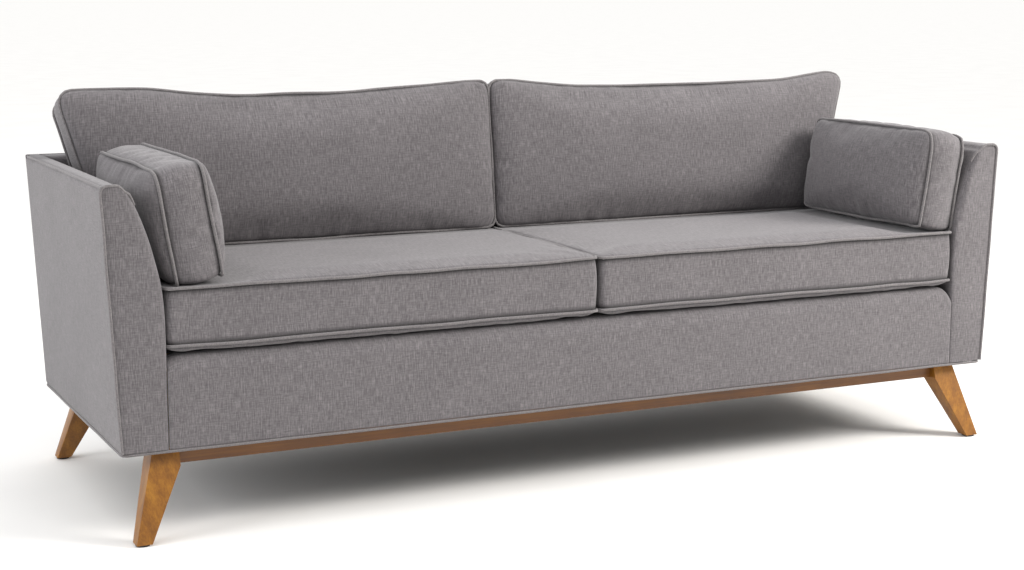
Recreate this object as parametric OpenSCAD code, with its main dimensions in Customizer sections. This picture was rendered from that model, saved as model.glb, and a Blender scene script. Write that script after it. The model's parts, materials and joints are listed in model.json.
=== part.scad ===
// Three-seat box-frame sofa: a splayed hardwood base, a timber body frame with sinuous springs,
// fabric-covered arms, back and front border, and six loose box cushions with welted edges.
// Millimetres. +X is the sitter's left-to-right as seen from the front, +Y runs to the back, +Z is up.
// The origin is on the floor, under the centre of the sofa.

/* [Body] */
// Overall width, across the tops of the arms
overall_w = 2160; // [1960:10:2300]
// Depth of the upholstered body
body_d = 730; // [700:5:760]
// Height of the arms and of the frame's back
arm_top_z = 712; // [690:2:740]
// How much wider the body is at the arm tops than at its base, per side
arm_flare = 25; // [10:1:40]
// Thickness of an arm where it meets the seat
arm_base_w = 95; // [85:1:110]
// Height of the sprung deck, under the seat cushions
deck_z = 372; // [360:1:380]
// How far the back leans from upright, in degrees
back_lean = 6.7; // [4:0.1:9]

/* [Base] */
// Height of the underside of the body
base_z = 184; // [170:1:200]
// Visible height of the wooden rails between the legs
base_rail_h = 38; // [30:1:45]
// How far a leg's foot stands outside its top, both sideways and forwards
leg_splay = 51; // [30:1:60]
// Side of the square foot of a leg
foot_side = 33; // [28:1:40]

/* [Cushions] */
// Thickness of the seat cushions
seat_t = 132; // [115:1:140]
// Thickness of the back cushions
back_t = 120; // [90:1:124]
// Height of the back cushions along their slope
back_h = 335; // [300:5:360]
// Thickness of the arm pillows
pillow_t = 100; // [70:1:100]
// Length of the arm pillows, front to back
pillow_l = 460; // [380:5:465]
// Height of the arm pillows
pillow_h = 236; // [200:2:250]
// How far the arm pillows lean outwards, in degrees
pillow_lean = 8.7; // [5:0.1:9]
// Distance of the right pillow's foot from the middle of the sofa
pillow_right_x = 910; // [850:1:910]
// Distance of the left pillow's foot from the middle of the sofa
pillow_left_x = 878; // [850:1:910]

/* [Hidden] */
LEFT = -1;
RIGHT = 1;

// Layers of the upholstery
fabric_t = 3;
padding_t = 10;
skin_t = fabric_t + padding_t;
ply_gap = 0.1;
board_t = 22;

// Main planes of the body
front_y = -body_d / 2;
back_y = body_d / 2;
top_half_w = overall_w / 2;
base_half_w = top_half_w - arm_flare;
arm_inner_x = base_half_w - arm_base_w;
arm_arc_z = 430;
arm_arc_r = 593;
form_front_y = front_y + skin_t;
form_rear_y = back_y - fabric_t;
frame_z = base_z + 1;
spring_rail_top = 345;

// Legs and base rails
leg_outer_x = base_half_w - 68;
leg_inner_x = leg_outer_x - 53;
leg_front_y = body_d / 2 - 28;
leg_back_y = leg_front_y - 56;
glide_t = 4;
rail_front_y = leg_front_y - 10;
leg_bolt_x = leg_outer_x - 22;
leg_bolt_y = leg_front_y - 19;
bolt_r = 4;
block_h = 40;

// Loose cushions
rest_gap = 0.5;
seat_w = arm_inner_x - 4;
seat_front_y = front_y - 1;
seat_z = deck_z + rest_gap;
seat_top_z = seat_z + seat_t;
back_face_y0 = 275;
seat_d = back_face_y0 - 4 - seat_front_y;
back_foot_z = seat_top_z + rest_gap;
cover_t = 2;
welt_d = 7;

// Height z on the line of the back's front face
function back_face_y(z) = back_face_y0 + (z - deck_z) * tan(back_lean);
// Half width of the body at height z
function outer_x(z) = base_half_w + arm_flare * (z - base_z) / (arm_top_z - base_z);
// Inner face of an arm at height z: upright at the seat, then an arc that opens outwards
function inner_x(z, r = arm_arc_r) =
    z <= arm_arc_z ? arm_inner_x + arm_arc_r - r
    : arm_inner_x + arm_arc_r - sqrt(r * r - (z - arm_arc_z) * (z - arm_arc_z));

// Points of a convex outline, listed anticlockwise, moved inwards by d
function unit(v) = v / norm(v);
function inward(a, b) = unit([a[1] - b[1], b[0] - a[0]]);
function inset(pts, d) = [
    for (i = [0 : len(pts) - 1])
        let (a = pts[(i + len(pts) - 1) % len(pts)], b = pts[i], c = pts[(i + 1) % len(pts)],
             n1 = inward(a, b), n2 = inward(b, c))
        b + (n1 + n2) * d / (1 + n1 * n2)
];

// Outline points with every corner rounded to radius r, in steps of a quarter of its turn
function rounded(pts, r, steps = 4) = [
    for (i = [0 : len(pts) - 1])
        let (a = pts[(i + len(pts) - 1) % len(pts)], b = pts[i], c = pts[(i + 1) % len(pts)],
             n1 = inward(a, b), n2 = inward(b, c), centre = b + (n1 + n2) * r / (1 + n1 * n2),
             a1 = atan2(-n1[1], -n1[0]), turn = acos(n1 * n2))
        for (k = [0 : steps]) centre + r * [cos(a1 + turn * k / steps), sin(a1 + turn * k / steps)]
];
function rectangle(w, h) = [[0, 0], [w, 0], [w, h], [0, h]];

module mirrored(side) {
    mirror([side < 0 ? 1 : 0, 0, 0]) children();
}

// Extrudes an outline drawn in X and Z from y0 to y1
module along_y(pts, y0, y1) {
    translate([0, y1, 0]) rotate([90, 0, 0]) linear_extrude(y1 - y0) polygon(pts);
}

// Extrudes an outline drawn in Y and Z from x0 to x1
module along_x(pts, x0, x1) {
    translate([x0, 0, 0]) rotate([90, 0, 90]) linear_extrude(x1 - x0) polygon(pts);
}

module box(low, high) {
    translate(low) cube(high - low);
}

// ---------- Wooden base ----------

// Front-right leg: two pairs of tapered saw cuts through one blank
module leg_blank() {
    function splay(z) = leg_splay * (base_z - z) / base_z;
    foot_in = leg_outer_x + leg_splay - foot_side;
    intersection() {
        along_y([[leg_outer_x + splay(glide_t), glide_t], [leg_outer_x, base_z], [leg_inner_x, base_z],
                 [leg_inner_x, base_z - base_rail_h], [foot_in, glide_t]], -body_d, body_d);
        along_x([[-leg_front_y - splay(glide_t), glide_t], [-leg_front_y - leg_splay + foot_side, glide_t],
                 [-leg_back_y, base_z], [-leg_front_y, base_z]], 0, overall_w);
    }
}

module leg(side, rear) {
    color("#B8863F")
    mirrored(side) mirror([0, rear ? 1 : 0, 0])
    difference() {
        leg_blank();
        leg_bolt(bolt_r + 0.05);
        rail_dowel(4.05);
        glide(1.3);
    }
}

module leg_bolt(r) {
    translate([leg_bolt_x, -leg_bolt_y, base_z - 44]) cylinder(h = 98, r = r, $fn = 32);
}

module rail_dowel(r) {
    translate([leg_inner_x - 18, -rail_front_y + board_t / 2, base_z - base_rail_h / 2])
        rotate([0, 90, 0]) cylinder(h = 36, r = r, $fn = 32);
}

module glide(nail_r) {
    translate([leg_outer_x + leg_splay - foot_side / 2, -leg_front_y - leg_splay + foot_side / 2, 0]) {
        cylinder(h = glide_t, r = 14, $fn = 48);
        cylinder(h = glide_t + 14, r = nail_r, $fn = 24);
    }
}

module at_each_leg() {
    for (side = [LEFT, RIGHT])
        for (rear = [0, 1])
            mirrored(side) mirror([0, rear, 0]) children();
}

module base_rail(rear) {
    color("#9A6A2C")
    mirror([0, rear ? 1 : 0, 0])
    difference() {
        box([-leg_inner_x, -rail_front_y, base_z - base_rail_h], [leg_inner_x, -rail_front_y + board_t, base_z]);
        for (side = [LEFT, RIGHT]) mirrored(side) rail_dowel(4.05);
    }
}

module base_rail_dowels() {
    color("#D9B77E") at_each_leg() rail_dowel(4);
}

module leg_bolts() {
    color("silver") at_each_leg() leg_bolt(bolt_r);
}

module leg_nuts() {
    washer_t = 2;
    nut_h = 6.5;
    color("silver") at_each_leg()
        translate([leg_bolt_x, -leg_bolt_y, frame_z + block_h]) difference() {
            union() {
                cylinder(h = washer_t, r = 10, $fn = 32);
                translate([0, 0, washer_t]) cylinder(h = nut_h, r = 7.5, $fn = 6);
            }
            translate([0, 0, -1]) cylinder(h = 12, r = bolt_r + 0.05, $fn = 32);
        }
}

module foot_glides() {
    color("#1C1A18") at_each_leg() glide(1.25);
}

// ---------- Timber frame of the body ----------

// Outline of the right arm seen from the front, inset by d
function arm_outline(d = 0, z0 = base_z) =
    let (top = arm_top_z - d, arc_top = top - 12, steps = 8, r = arm_arc_r - d)
    concat(
        [[arm_inner_x + d, z0], [outer_x(z0) - d, z0], [outer_x(top) - d, top],
         [inner_x(arc_top, r) + 14, top]],
        [for (k = [0 : steps]) let (z = arc_top + (arm_arc_z - arc_top) * k / steps) [inner_x(z, r), z]]
    );

module arm_block(d, y0, y1, z0 = base_z) {
    along_y(arm_outline(d, z0), y0, y1);
}

module arm_form(side, y0) {
    color("#C9A063") mirrored(side) arm_block(skin_t, y0, y0 + board_t, frame_z);
}

module arm_top_rail(side) {
    color("#C9A063") mirrored(side)
        box([1041, form_front_y + board_t, 638], [1063, form_rear_y - board_t, 686]);
}

module arm_tack_rail(side) {
    color("#C9A063") mirrored(side)
        box([arm_inner_x + skin_t, form_front_y + board_t, 385],
            [arm_inner_x + skin_t + board_t, form_rear_y - board_t, 430]);
}

side_rail_x = arm_inner_x + 58;

module frame_side_rail(side) {
    color("#C9A063") mirrored(side) difference() {
        box([side_rail_x, form_front_y + board_t, frame_z], [side_rail_x + board_t, form_rear_y - board_t, 290]);
        block_screws(2.05);
        rear_corner() block_screws(2.05);
    }
}

module cross_rail(y0, z1) {
    end_x = arm_inner_x + skin_t;
    box([-end_x, y0, frame_z], [end_x, y0 + board_t, z1]);
}

module frame_front_rail() {
    color("#C9A063") difference() {
        cross_rail(form_front_y, spring_rail_top);
        for (side = [LEFT, RIGHT]) mirrored(side) block_screws(2.05);
    }
}

module frame_rear_rail() {
    color("#C9A063") difference() {
        cross_rail(form_rear_y - board_t, spring_rail_top);
        for (side = [LEFT, RIGHT]) mirrored(side) rear_corner() block_screws(2.05);
    }
}

module rear_spring_rail() {
    color("#C9A063")
        box([-side_rail_x, 250, spring_rail_top - 60], [side_rail_x, 250 + board_t, spring_rail_top]);
}

module frame_centre_stretcher() {
    color("#C9A063")
        box([-board_t / 2, form_front_y + board_t, frame_z],
            [board_t / 2, form_rear_y - board_t, spring_rail_top - 60]);
}

// Places a front corner's pieces at the rear corner, whose rail lies further out
module rear_corner() {
    translate([0, form_rear_y + form_front_y, 0]) mirror([0, 1, 0]) children();
}

module corner_block() {
    y0 = form_front_y + board_t;
    difference() {
        translate([0, 0, frame_z]) linear_extrude(block_h)
            polygon([[870, y0], [side_rail_x, y0], [side_rail_x, y0 + 118], [side_rail_x - 34, y0 + 118],
                     [870, y0 + 36]]);
        block_screws(2.05);
    }
}

// Two screws of each block: one into the cross rail, one into the side rail
module block_screws(r) {
    screw_z = frame_z + block_h / 2;
    translate([905, form_front_y + board_t + 30, screw_z]) rotate([90, 0, 0]) screw(r);
    translate([side_rail_x - 30, form_front_y + board_t + 100, screw_z]) rotate([0, 90, 0]) screw(r);
}

// Wood screw along +Z, its head at the origin
module screw(r) {
    cylinder(h = 44, r = r, $fn = 24);
    mirror([0, 0, 1]) cylinder(h = 3, r = r + 2, $fn = 24);
}

module corner_blocks() {
    color("#C9A063") for (side = [LEFT, RIGHT]) mirrored(side) difference() {
        union() {
            corner_block();
            rear_corner() corner_block();
        }
        for (rear = [0, 1]) mirror([0, rear, 0]) leg_bolt(bolt_r + 0.3);
    }
}

module corner_block_screws() {
    color("goldenrod") for (side = [LEFT, RIGHT]) mirrored(side) {
        block_screws(2);
        rear_corner() block_screws(2);
    }
}

// The top rail's ends are scribed to the curved rear forms
module back_top_rail() {
    color("#C9A063") difference() {
        back_top_bar(0);
        for (side = [LEFT, RIGHT])
            mirrored(side) arm_block(skin_t - ply_gap, 0, back_y, frame_z);
    }
}

module back_top_bar(slack) {
    box([-1050, form_rear_y - board_t - slack, 640 - slack], [1050, form_rear_y + slack, arm_top_z - skin_t + slack]);
}

module back_posts() {
    color("#C9A063") for (x = [-640, 0, 640])
        box([x - 30, form_rear_y - board_t, spring_rail_top], [x + 30, form_rear_y, 640]);
}

// ---------- Springs and webbing ----------

spring_y0 = form_front_y + board_t / 2;
spring_y1 = 250 + board_t / 2;
spring_pairs = 9;
springs_per_side = 7;
spring_pitch = (spring_y1 - spring_y0) / (2 * spring_pairs);
spring_half_w = 24;
wire_r = 1.9;
wire_z = spring_rail_top + 4;

// One sinuous spring: straight bars across, joined by half turns at alternate ends.
// Its wire is drawn with a square section, which keeps the bends exact
module sinuous_spring() {
    turn_r = spring_pitch / 2;
    bar = 2 * (spring_half_w - turn_r);
    translate([0, 0, -wire_r]) linear_extrude(2 * wire_r) {
        for (i = [0 : 2 * spring_pairs])
            translate([-bar / 2, i * spring_pitch - wire_r]) square([bar, 2 * wire_r]);
        for (i = [0 : 2 * spring_pairs - 1])
            translate([(i % 2 ? -1 : 1) * bar / 2, (i + 0.5) * spring_pitch])
                rotate(i % 2 ? 90 : -90) half_turn(turn_r);
    }
}

module half_turn(r) {
    difference() {
        circle(r = r + wire_r, $fn = 32);
        circle(r = r - wire_r, $fn = 32);
        translate([-2 * r, -4 * r]) square(4 * r);
    }
}

module at_each_spring() {
    for (side = [LEFT, RIGHT])
        for (i = [0 : springs_per_side - 1])
            translate([side * (75 + i * 133), 0, 0]) children();
}

module seat_springs() {
    color("slategray") at_each_spring() translate([0, spring_y0, wire_z]) sinuous_spring();
}

// A bent steel clip that hooks over a spring's end bar
module clip_hook() {
    across = 14;
    sheet = 1;
    box([-across / 2, -6, spring_rail_top], [across / 2, 5, spring_rail_top + sheet]);
    box([-across / 2, -6, spring_rail_top], [across / 2, -5, wire_z + 3.5]);
    box([-across / 2, -6, wire_z + 2.5], [across / 2, 3, wire_z + 3.5]);
}

module spring_clips() {
    color("gray") at_each_spring() {
        translate([0, spring_y0, 0]) clip_hook();
        translate([0, spring_y1, 0]) mirror([0, 1, 0]) clip_hook();
    }
}

module back_webbing() {
    strap_w = 60;
    y1 = form_rear_y - board_t;
    color("#4A4338") {
        for (x = [-850 : 170 : 850])
            box([x - strap_w / 2, y1 - 2, 300], [x + strap_w / 2, y1, 690]);
        for (z = [430, 550])
            box([-880, y1 - 4, z - strap_w / 2], [880, y1 - 2, z + strap_w / 2]);
    }
}

// ---------- Padding ----------

deck_pad_top = deck_z - fabric_t;
border_pad_y = front_y + 40;

module deck_pad() {
    color("#E8E2D0")
        box([-arm_inner_x + 1, border_pad_y, deck_pad_top - 15], [arm_inner_x - 1, back_face_y0 - 1, deck_pad_top]);
}

// The padding of the inside back, from the webbing to the fabric
module back_padding() {
    y1 = form_rear_y - board_t - 4;
    top = arm_top_z - skin_t;
    under = fabric_t + ply_gap;
    color("#E8E2D0") difference() {
        along_x([[back_face_y(deck_z) + under, deck_z], [y1, deck_z], [y1, top],
                 [back_face_y(top) + under, top]], -1060, 1060);
        for (side = [LEFT, RIGHT]) mirrored(side) arm_block(0, 0, back_y, base_z);
    }
}

// Section of the front border's rolled top edge, inset by d
roll_r = deck_z - spring_rail_top;
function border_edge(d) = [
    for (k = [0 : 6]) let (a = 180 - 15 * k)
        [front_y + roll_r + (roll_r - d) * cos(a), deck_z - roll_r + (roll_r - d) * sin(a)]
];

// A layer of the front border from inset d0 to inset d1: up the front and over the top
module border_layer(d0, d1, z0) {
    section = concat(
        [[front_y + d1, z0], [front_y + d0, z0]], border_edge(d0),
        [[border_pad_y, deck_z - d0], [border_pad_y, deck_z - d1]],
        [for (k = [0 : 6]) border_edge(d1)[6 - k]]
    );
    along_x([for (k = [0 : len(section) - 1]) section[len(section) - 1 - k]], -arm_inner_x, arm_inner_x);
}

module border_padding() {
    color("#E8E2D0") border_layer(fabric_t, skin_t, frame_z);
}

module border_cover() {
    color("#8A8685") border_layer(0, fabric_t, base_z);
}

// A layer of an arm from inset d0 to inset d1. Under the deck its inner side is open,
// and at the back it is cut away round the top rail of the back
module arm_layer(d0, d1) {
    difference() {
        arm_block(d0, front_y + d0, form_rear_y, frame_z);
        arm_block(d1, front_y + d1, form_rear_y + 1, frame_z - 10);
        box([arm_inner_x - 10, front_y + skin_t, base_z - 10], [arm_inner_x + skin_t, back_y, deck_z]);
        back_top_bar(ply_gap);
    }
}

module arm_padding(side) {
    color("#E8E2D0") mirrored(side) arm_layer(fabric_t + ply_gap, skin_t - ply_gap);
}

// ---------- Covers of the body ----------

module arm_cover(side) {
    color("#8A8685") mirrored(side) arm_layer(0, fabric_t);
}

// Inside back and the band over the top of the back
module inside_back_cover() {
    top = arm_top_z;
    inner_top = top - fabric_t;
    color("#8A8685") difference() {
        along_x([[back_face_y(deck_z), deck_z], [back_face_y(deck_z) + fabric_t, deck_z],
                 [back_face_y(inner_top) + fabric_t, inner_top], [form_rear_y, inner_top],
                 [form_rear_y, top], [back_face_y(top), top]], -1060, 1060);
        for (side = [LEFT, RIGHT]) mirrored(side) arm_block(0, 0, back_y, base_z);
    }
}

module outside_back_panel() {
    outline = [[-base_half_w, base_z], [base_half_w, base_z], [top_half_w, arm_top_z], [-top_half_w, arm_top_z]];
    color("#8A8685") along_y(outline, form_rear_y, back_y);
}

module deck_cover() {
    color("#6E6A69")
        box([-arm_inner_x, border_pad_y, deck_pad_top], [arm_inner_x, back_face_y0, deck_z]);
}

// Thin cloth under the frame, with holes for the leg bolts
module dust_cover() {
    inner_y = form_rear_y - 10;
    color("#1A1A1A") difference() {
        box([-arm_inner_x - 60, -inner_y + 12, base_z], [arm_inner_x + 60, inner_y, frame_z]);
        at_each_leg() leg_bolt(bolt_r + 0.3);
    }
}

// Welt round the bottom edge of the body, under its covers
module body_welts() {
    outer = [[-base_half_w, front_y], [base_half_w, front_y], [base_half_w, back_y], [-base_half_w, back_y]];
    color("#7A7675") translate([0, 0, base_z - welt_d]) linear_extrude(welt_d) difference() {
        polygon(outer);
        polygon(inset(outer, welt_d));
    }
}

// ---------- Loose cushions ----------

// A cushion lies flat to be drawn: its outline in X and Y, its thickness t along Z
module cushion_core(pts, t) {
    color("#EFE9D8") translate([0, 0, cover_t]) linear_extrude(t - 2 * cover_t) polygon(inset(pts, cover_t));
}

module cushion_cover(pts, t) {
    color("#8A8685") difference() {
        linear_extrude(t) polygon(pts);
        translate([0, 0, cover_t]) linear_extrude(t - 2 * cover_t) polygon(inset(pts, cover_t));
    }
}

// Zip tape and slider, on the middle of the straight edge between two points of the outline
module cushion_zip(length, t) {
    tape_w = 26;
    color("#5A5757") {
        translate([-length / 2, 0, (t - tape_w) / 2]) cube([length, 1.2, tape_w]);
        translate([length / 2 - 40, 1.2, t / 2 - 5]) cube([16, 2.4, 10]);
    }
}

seat_outline = rounded(rectangle(seat_w, seat_d), 22);

module at_seat(side) {
    translate([side < 0 ? -seat_w - 2 : 2, seat_front_y, seat_z]) children();
}

// Back cushion outline: its outer side follows the arm and stays clear of it
back_top_x = 1033;
back_outline = rounded([[2, 0], [arm_inner_x - 9, 0], [1016, 206], [back_top_x, 262],
                        [back_top_x, back_h], [2, back_h]], 20);
back_rear_y = back_face_y(back_foot_z) - 2.5;

module at_back(side) {
    mirrored(side) translate([0, back_rear_y, back_foot_z]) rotate([90 - back_lean, 0, 0]) children();
}

pillow_outline = rounded(rectangle(pillow_l, pillow_h), 24);
pillow_front_y = front_y + 20;

module at_pillow(side) {
    foot_x = side < 0 ? pillow_left_x : pillow_right_x;
    mirrored(side)
        translate([foot_x, pillow_front_y, seat_top_z + rest_gap + pillow_t / 2 * sin(pillow_lean)])
            rotate([0, pillow_lean, 0]) translate([-pillow_t / 2, 0, 0]) rotate([90, 0, 90]) children();
}

module seat_zip(side) {
    at_seat(side) translate([seat_w / 2, seat_d, 0]) cushion_zip(760, seat_t);
}

module back_zip(side) {
    at_back(side) translate([arm_inner_x / 2, 0, 0]) mirror([0, 1, 0]) cushion_zip(760, back_t);
}

leg(LEFT, false);  // leg_front_left
leg(RIGHT, false);  // leg_front_right
leg(LEFT, true);  // leg_rear_left
leg(RIGHT, true);  // leg_rear_right
base_rail(false);  // base_rail_front
base_rail(true);  // base_rail_rear
base_rail_dowels();
leg_bolts();
leg_nuts();
foot_glides();
frame_front_rail();
frame_rear_rail();
frame_side_rail(LEFT);  // frame_side_rail_left
frame_side_rail(RIGHT);  // frame_side_rail_right
frame_centre_stretcher();
rear_spring_rail();
corner_blocks();
corner_block_screws();
arm_form(LEFT, form_front_y);  // arm_front_form_left
arm_form(RIGHT, form_front_y);  // arm_front_form_right
arm_form(LEFT, form_rear_y - board_t);  // arm_rear_form_left
arm_form(RIGHT, form_rear_y - board_t);  // arm_rear_form_right
arm_top_rail(LEFT);  // arm_top_rail_left
arm_top_rail(RIGHT);  // arm_top_rail_right
arm_tack_rail(LEFT);  // arm_tack_rail_left
arm_tack_rail(RIGHT);  // arm_tack_rail_right
back_top_rail();
back_posts();
seat_springs();
spring_clips();
back_webbing();
deck_pad();
back_padding();
border_padding();
arm_padding(LEFT);  // arm_padding_left
arm_padding(RIGHT);  // arm_padding_right
arm_cover(LEFT);  // arm_cover_left
arm_cover(RIGHT);  // arm_cover_right
inside_back_cover();
outside_back_panel();
border_cover();
deck_cover();
dust_cover();
body_welts();
at_seat(LEFT) cushion_core(seat_outline, seat_t);  // seat_cushion_core_left
at_seat(LEFT) cushion_cover(seat_outline, seat_t);  // seat_cushion_cover_left
at_seat(RIGHT) cushion_core(seat_outline, seat_t);  // seat_cushion_core_right
at_seat(RIGHT) cushion_cover(seat_outline, seat_t);  // seat_cushion_cover_right
at_back(LEFT) cushion_core(back_outline, back_t);  // back_cushion_core_left
at_back(LEFT) cushion_cover(back_outline, back_t);  // back_cushion_cover_left
at_back(RIGHT) cushion_core(back_outline, back_t);  // back_cushion_core_right
at_back(RIGHT) cushion_cover(back_outline, back_t);  // back_cushion_cover_right
at_pillow(LEFT) cushion_core(pillow_outline, pillow_t);  // arm_pillow_core_left
at_pillow(LEFT) cushion_cover(pillow_outline, pillow_t);  // arm_pillow_cover_left
at_pillow(RIGHT) cushion_core(pillow_outline, pillow_t);  // arm_pillow_core_right
at_pillow(RIGHT) cushion_cover(pillow_outline, pillow_t);  // arm_pillow_cover_right
seat_zip(LEFT);  // seat_cushion_zips_left
seat_zip(RIGHT);  // seat_cushion_zips_right
back_zip(LEFT);  // back_cushion_zips_left
back_zip(RIGHT);  // back_cushion_zips_right
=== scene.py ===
# %% [markdown]
# # A three-seat box-frame sofa on a splayed hardwood base
# The sofa has a timber body covered in woven cloth, six loose box cushions whose seams are edged with welt
# (a cord wrapped in the same cloth), and a base of four flat tapered legs joined by two rails.
# The exact frame comes first: every later piece takes its place from it, so nothing is fitted by eye.

# %% Load the exact frame
import json
import math
import bpy
import bmesh
import numpy as np
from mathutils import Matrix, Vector, noise


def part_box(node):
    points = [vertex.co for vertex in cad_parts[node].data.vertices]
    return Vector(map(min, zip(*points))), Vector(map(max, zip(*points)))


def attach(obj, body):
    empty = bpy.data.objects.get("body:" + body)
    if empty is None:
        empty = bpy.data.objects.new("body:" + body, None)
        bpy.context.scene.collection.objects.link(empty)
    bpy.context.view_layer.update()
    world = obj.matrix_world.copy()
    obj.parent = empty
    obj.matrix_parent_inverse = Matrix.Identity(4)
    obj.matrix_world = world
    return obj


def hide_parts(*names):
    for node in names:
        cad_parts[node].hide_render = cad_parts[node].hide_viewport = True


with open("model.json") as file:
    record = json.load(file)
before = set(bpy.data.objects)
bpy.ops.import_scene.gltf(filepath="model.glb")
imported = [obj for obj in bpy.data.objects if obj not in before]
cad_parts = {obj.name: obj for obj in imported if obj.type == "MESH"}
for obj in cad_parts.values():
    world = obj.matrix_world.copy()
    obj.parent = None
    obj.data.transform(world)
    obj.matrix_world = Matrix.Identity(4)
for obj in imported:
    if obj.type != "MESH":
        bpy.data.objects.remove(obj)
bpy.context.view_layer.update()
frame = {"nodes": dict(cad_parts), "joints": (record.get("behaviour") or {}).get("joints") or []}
scene = bpy.context.scene
MM = 0.001

# %% [markdown]
# ## Planes that the frame gives
# The main planes of the sofa are read from the boxes of the frame's nodes. The lean of the back and of
# the arm pillows is the direction in which they lift out, which the frame's joints hold. The planes could
# be typed in as numbers, but then the covers would not follow a change in the frame.

# %% Planes of the body
arm_low, arm_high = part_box("arm_cover_right")
panel_low, panel_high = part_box("outside_back_panel")
FRONT_Y, BACK_Y = arm_low.y, panel_high.y
BASE_Z, ARM_TOP_Z, DECK_Z = panel_low.z, arm_high.z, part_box("border_cover")[1].z
ARM_IN_X, ARM_TOP_X = arm_low.x, panel_high.x
ARM_BASE_X = ARM_IN_X + 95 * MM
ARC_Z, ARC_R = 430 * MM, 593 * MM
lift = {joint["child"]: Vector(joint["axis"]) for joint in frame["joints"]}
BACK_LEAN = math.atan2(lift["back_cushion_right"].y, lift["back_cushion_right"].z)
PILLOW_LEAN = math.atan2(lift["arm_pillow_right"].x, lift["arm_pillow_right"].z)
print("body from", round(BASE_Z, 3), "to", round(ARM_TOP_Z, 3), "m; the back leans",
      round(math.degrees(BACK_LEAN), 1), "degrees")


def arm_outer_x(z):
    """The arm's outer face flares in a straight line from the base to the top."""
    return ARM_BASE_X + (ARM_TOP_X - ARM_BASE_X) * (z - BASE_Z) / (ARM_TOP_Z - BASE_Z)


def arm_inner_x(z):
    """The arm's inner face is upright beside the seat, then opens outwards on an arc."""
    above = np.clip(np.asarray(z, float) - ARC_Z, 0, ARC_R)
    return ARM_IN_X + ARC_R - np.sqrt(ARC_R ** 2 - above ** 2)


def back_face_y(z):
    """The front face of the fixed back, behind the loose cushions."""
    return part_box("deck_cover")[1].y + (z - DECK_Z) * math.tan(BACK_LEAN)


# %% [markdown]
# ## Colours and node helpers
# Colours are written as sRGB hex, as a paint chart gives them, and one function turns them to the linear
# values that a shader needs. A second small function adds any node with its settings and its links, so a
# material reads as a list of what is in it. A third mixes layers of stretched noise, because cloth, wood,
# metal and plastic all show one fine pattern over a wider one.

# %% Colour and node helpers


def paint(code):
    """Linear RGBA of an sRGB hex colour."""
    parts = [int(code[i:i + 2], 16) / 255 for i in (1, 3, 5)]
    return [c / 12.92 if c <= 0.04045 else ((c + 0.055) / 1.055) ** 2.4 for c in parts] + [1.0]


def add(tree, kind, links=None, values=None, **settings):
    """Adds one node: settings are its own options, values fill its inputs and links join them."""
    node = tree.nodes.new(kind)
    for key, value in settings.items():
        setattr(node, key, value)
    for key, value in (values or {}).items():
        node.inputs[key].default_value = value
    for key, socket in (links or {}).items():
        tree.links.new(socket, node.inputs[key])
    return node


def blank_material(name, colour, rough, **sockets):
    """A material with its shader; every constant is set on the shader's own sockets."""
    material = bpy.data.materials.new(name)
    material.use_nodes = True
    tree = material.node_tree
    shader = tree.nodes["Principled BSDF"]
    shader.inputs["Base Color"].default_value = paint(colour)
    shader.inputs["Roughness"].default_value = rough
    for key, value in sockets.items():
        shader.inputs[key.replace("_", " ")].default_value = value
    material.diffuse_color = paint(colour)
    return material, tree, shader


def pattern(tree, shader, place, layers, stops, gloss=None, relief=None):
    """Mixes layers of stretched noise into one tone, which colours, roughens and embosses a surface.

    A layer is (cells in a metre along each axis, detail, roughness, weight), a stop is (tone, sRGB hex),
    gloss is (layer, lowest roughness, highest) and relief is (layer, strength, depth). Layer None is the
    mixed tone itself.
    """
    noises, tone = {}, None
    for cells, detail, rough, weight in layers:
        spread = add(tree, "ShaderNodeVectorMath", {0: place}, {1: cells}, operation="MULTIPLY")
        made = add(tree, "ShaderNodeTexNoise", {"Vector": spread.outputs[0]},
                   {"Scale": 1.0, "Detail": detail, "Roughness": rough})
        links = {0: made.outputs["Fac"]} if tone is None else {0: made.outputs["Fac"], 2: tone}
        tone = add(tree, "ShaderNodeMath", links, {1: weight} if 2 in links else {1: weight, 2: 0.0},
                   operation="MULTIPLY_ADD").outputs[0]
        noises[len(noises)] = made.outputs["Fac"]
    noises[None] = tone
    ramp = add(tree, "ShaderNodeValToRGB", {"Fac": tone})
    elements = ramp.color_ramp.elements
    while len(elements) < len(stops):
        elements.new(1.0)
    for element, (position, code) in zip(elements, stops):
        element.position, element.color = position, paint(code)
    tree.links.new(ramp.outputs["Color"], shader.inputs["Base Color"])
    if gloss:
        layer, low, high = gloss
        rough = add(tree, "ShaderNodeMapRange", {"Value": noises[layer]}, {"To Min": low, "To Max": high})
        tree.links.new(rough.outputs[0], shader.inputs["Roughness"])
    if relief:
        layer, strength, depth = relief
        bump = add(tree, "ShaderNodeBump", {"Height": noises[layer]},
                   {"Strength": strength, "Distance": depth})
        tree.links.new(bump.outputs[0], shader.inputs["Normal"])
    return ramp.outputs["Color"]


print("node helpers ready; mid grey is", [round(c, 3) for c in paint("#808080")[:3]])
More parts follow.
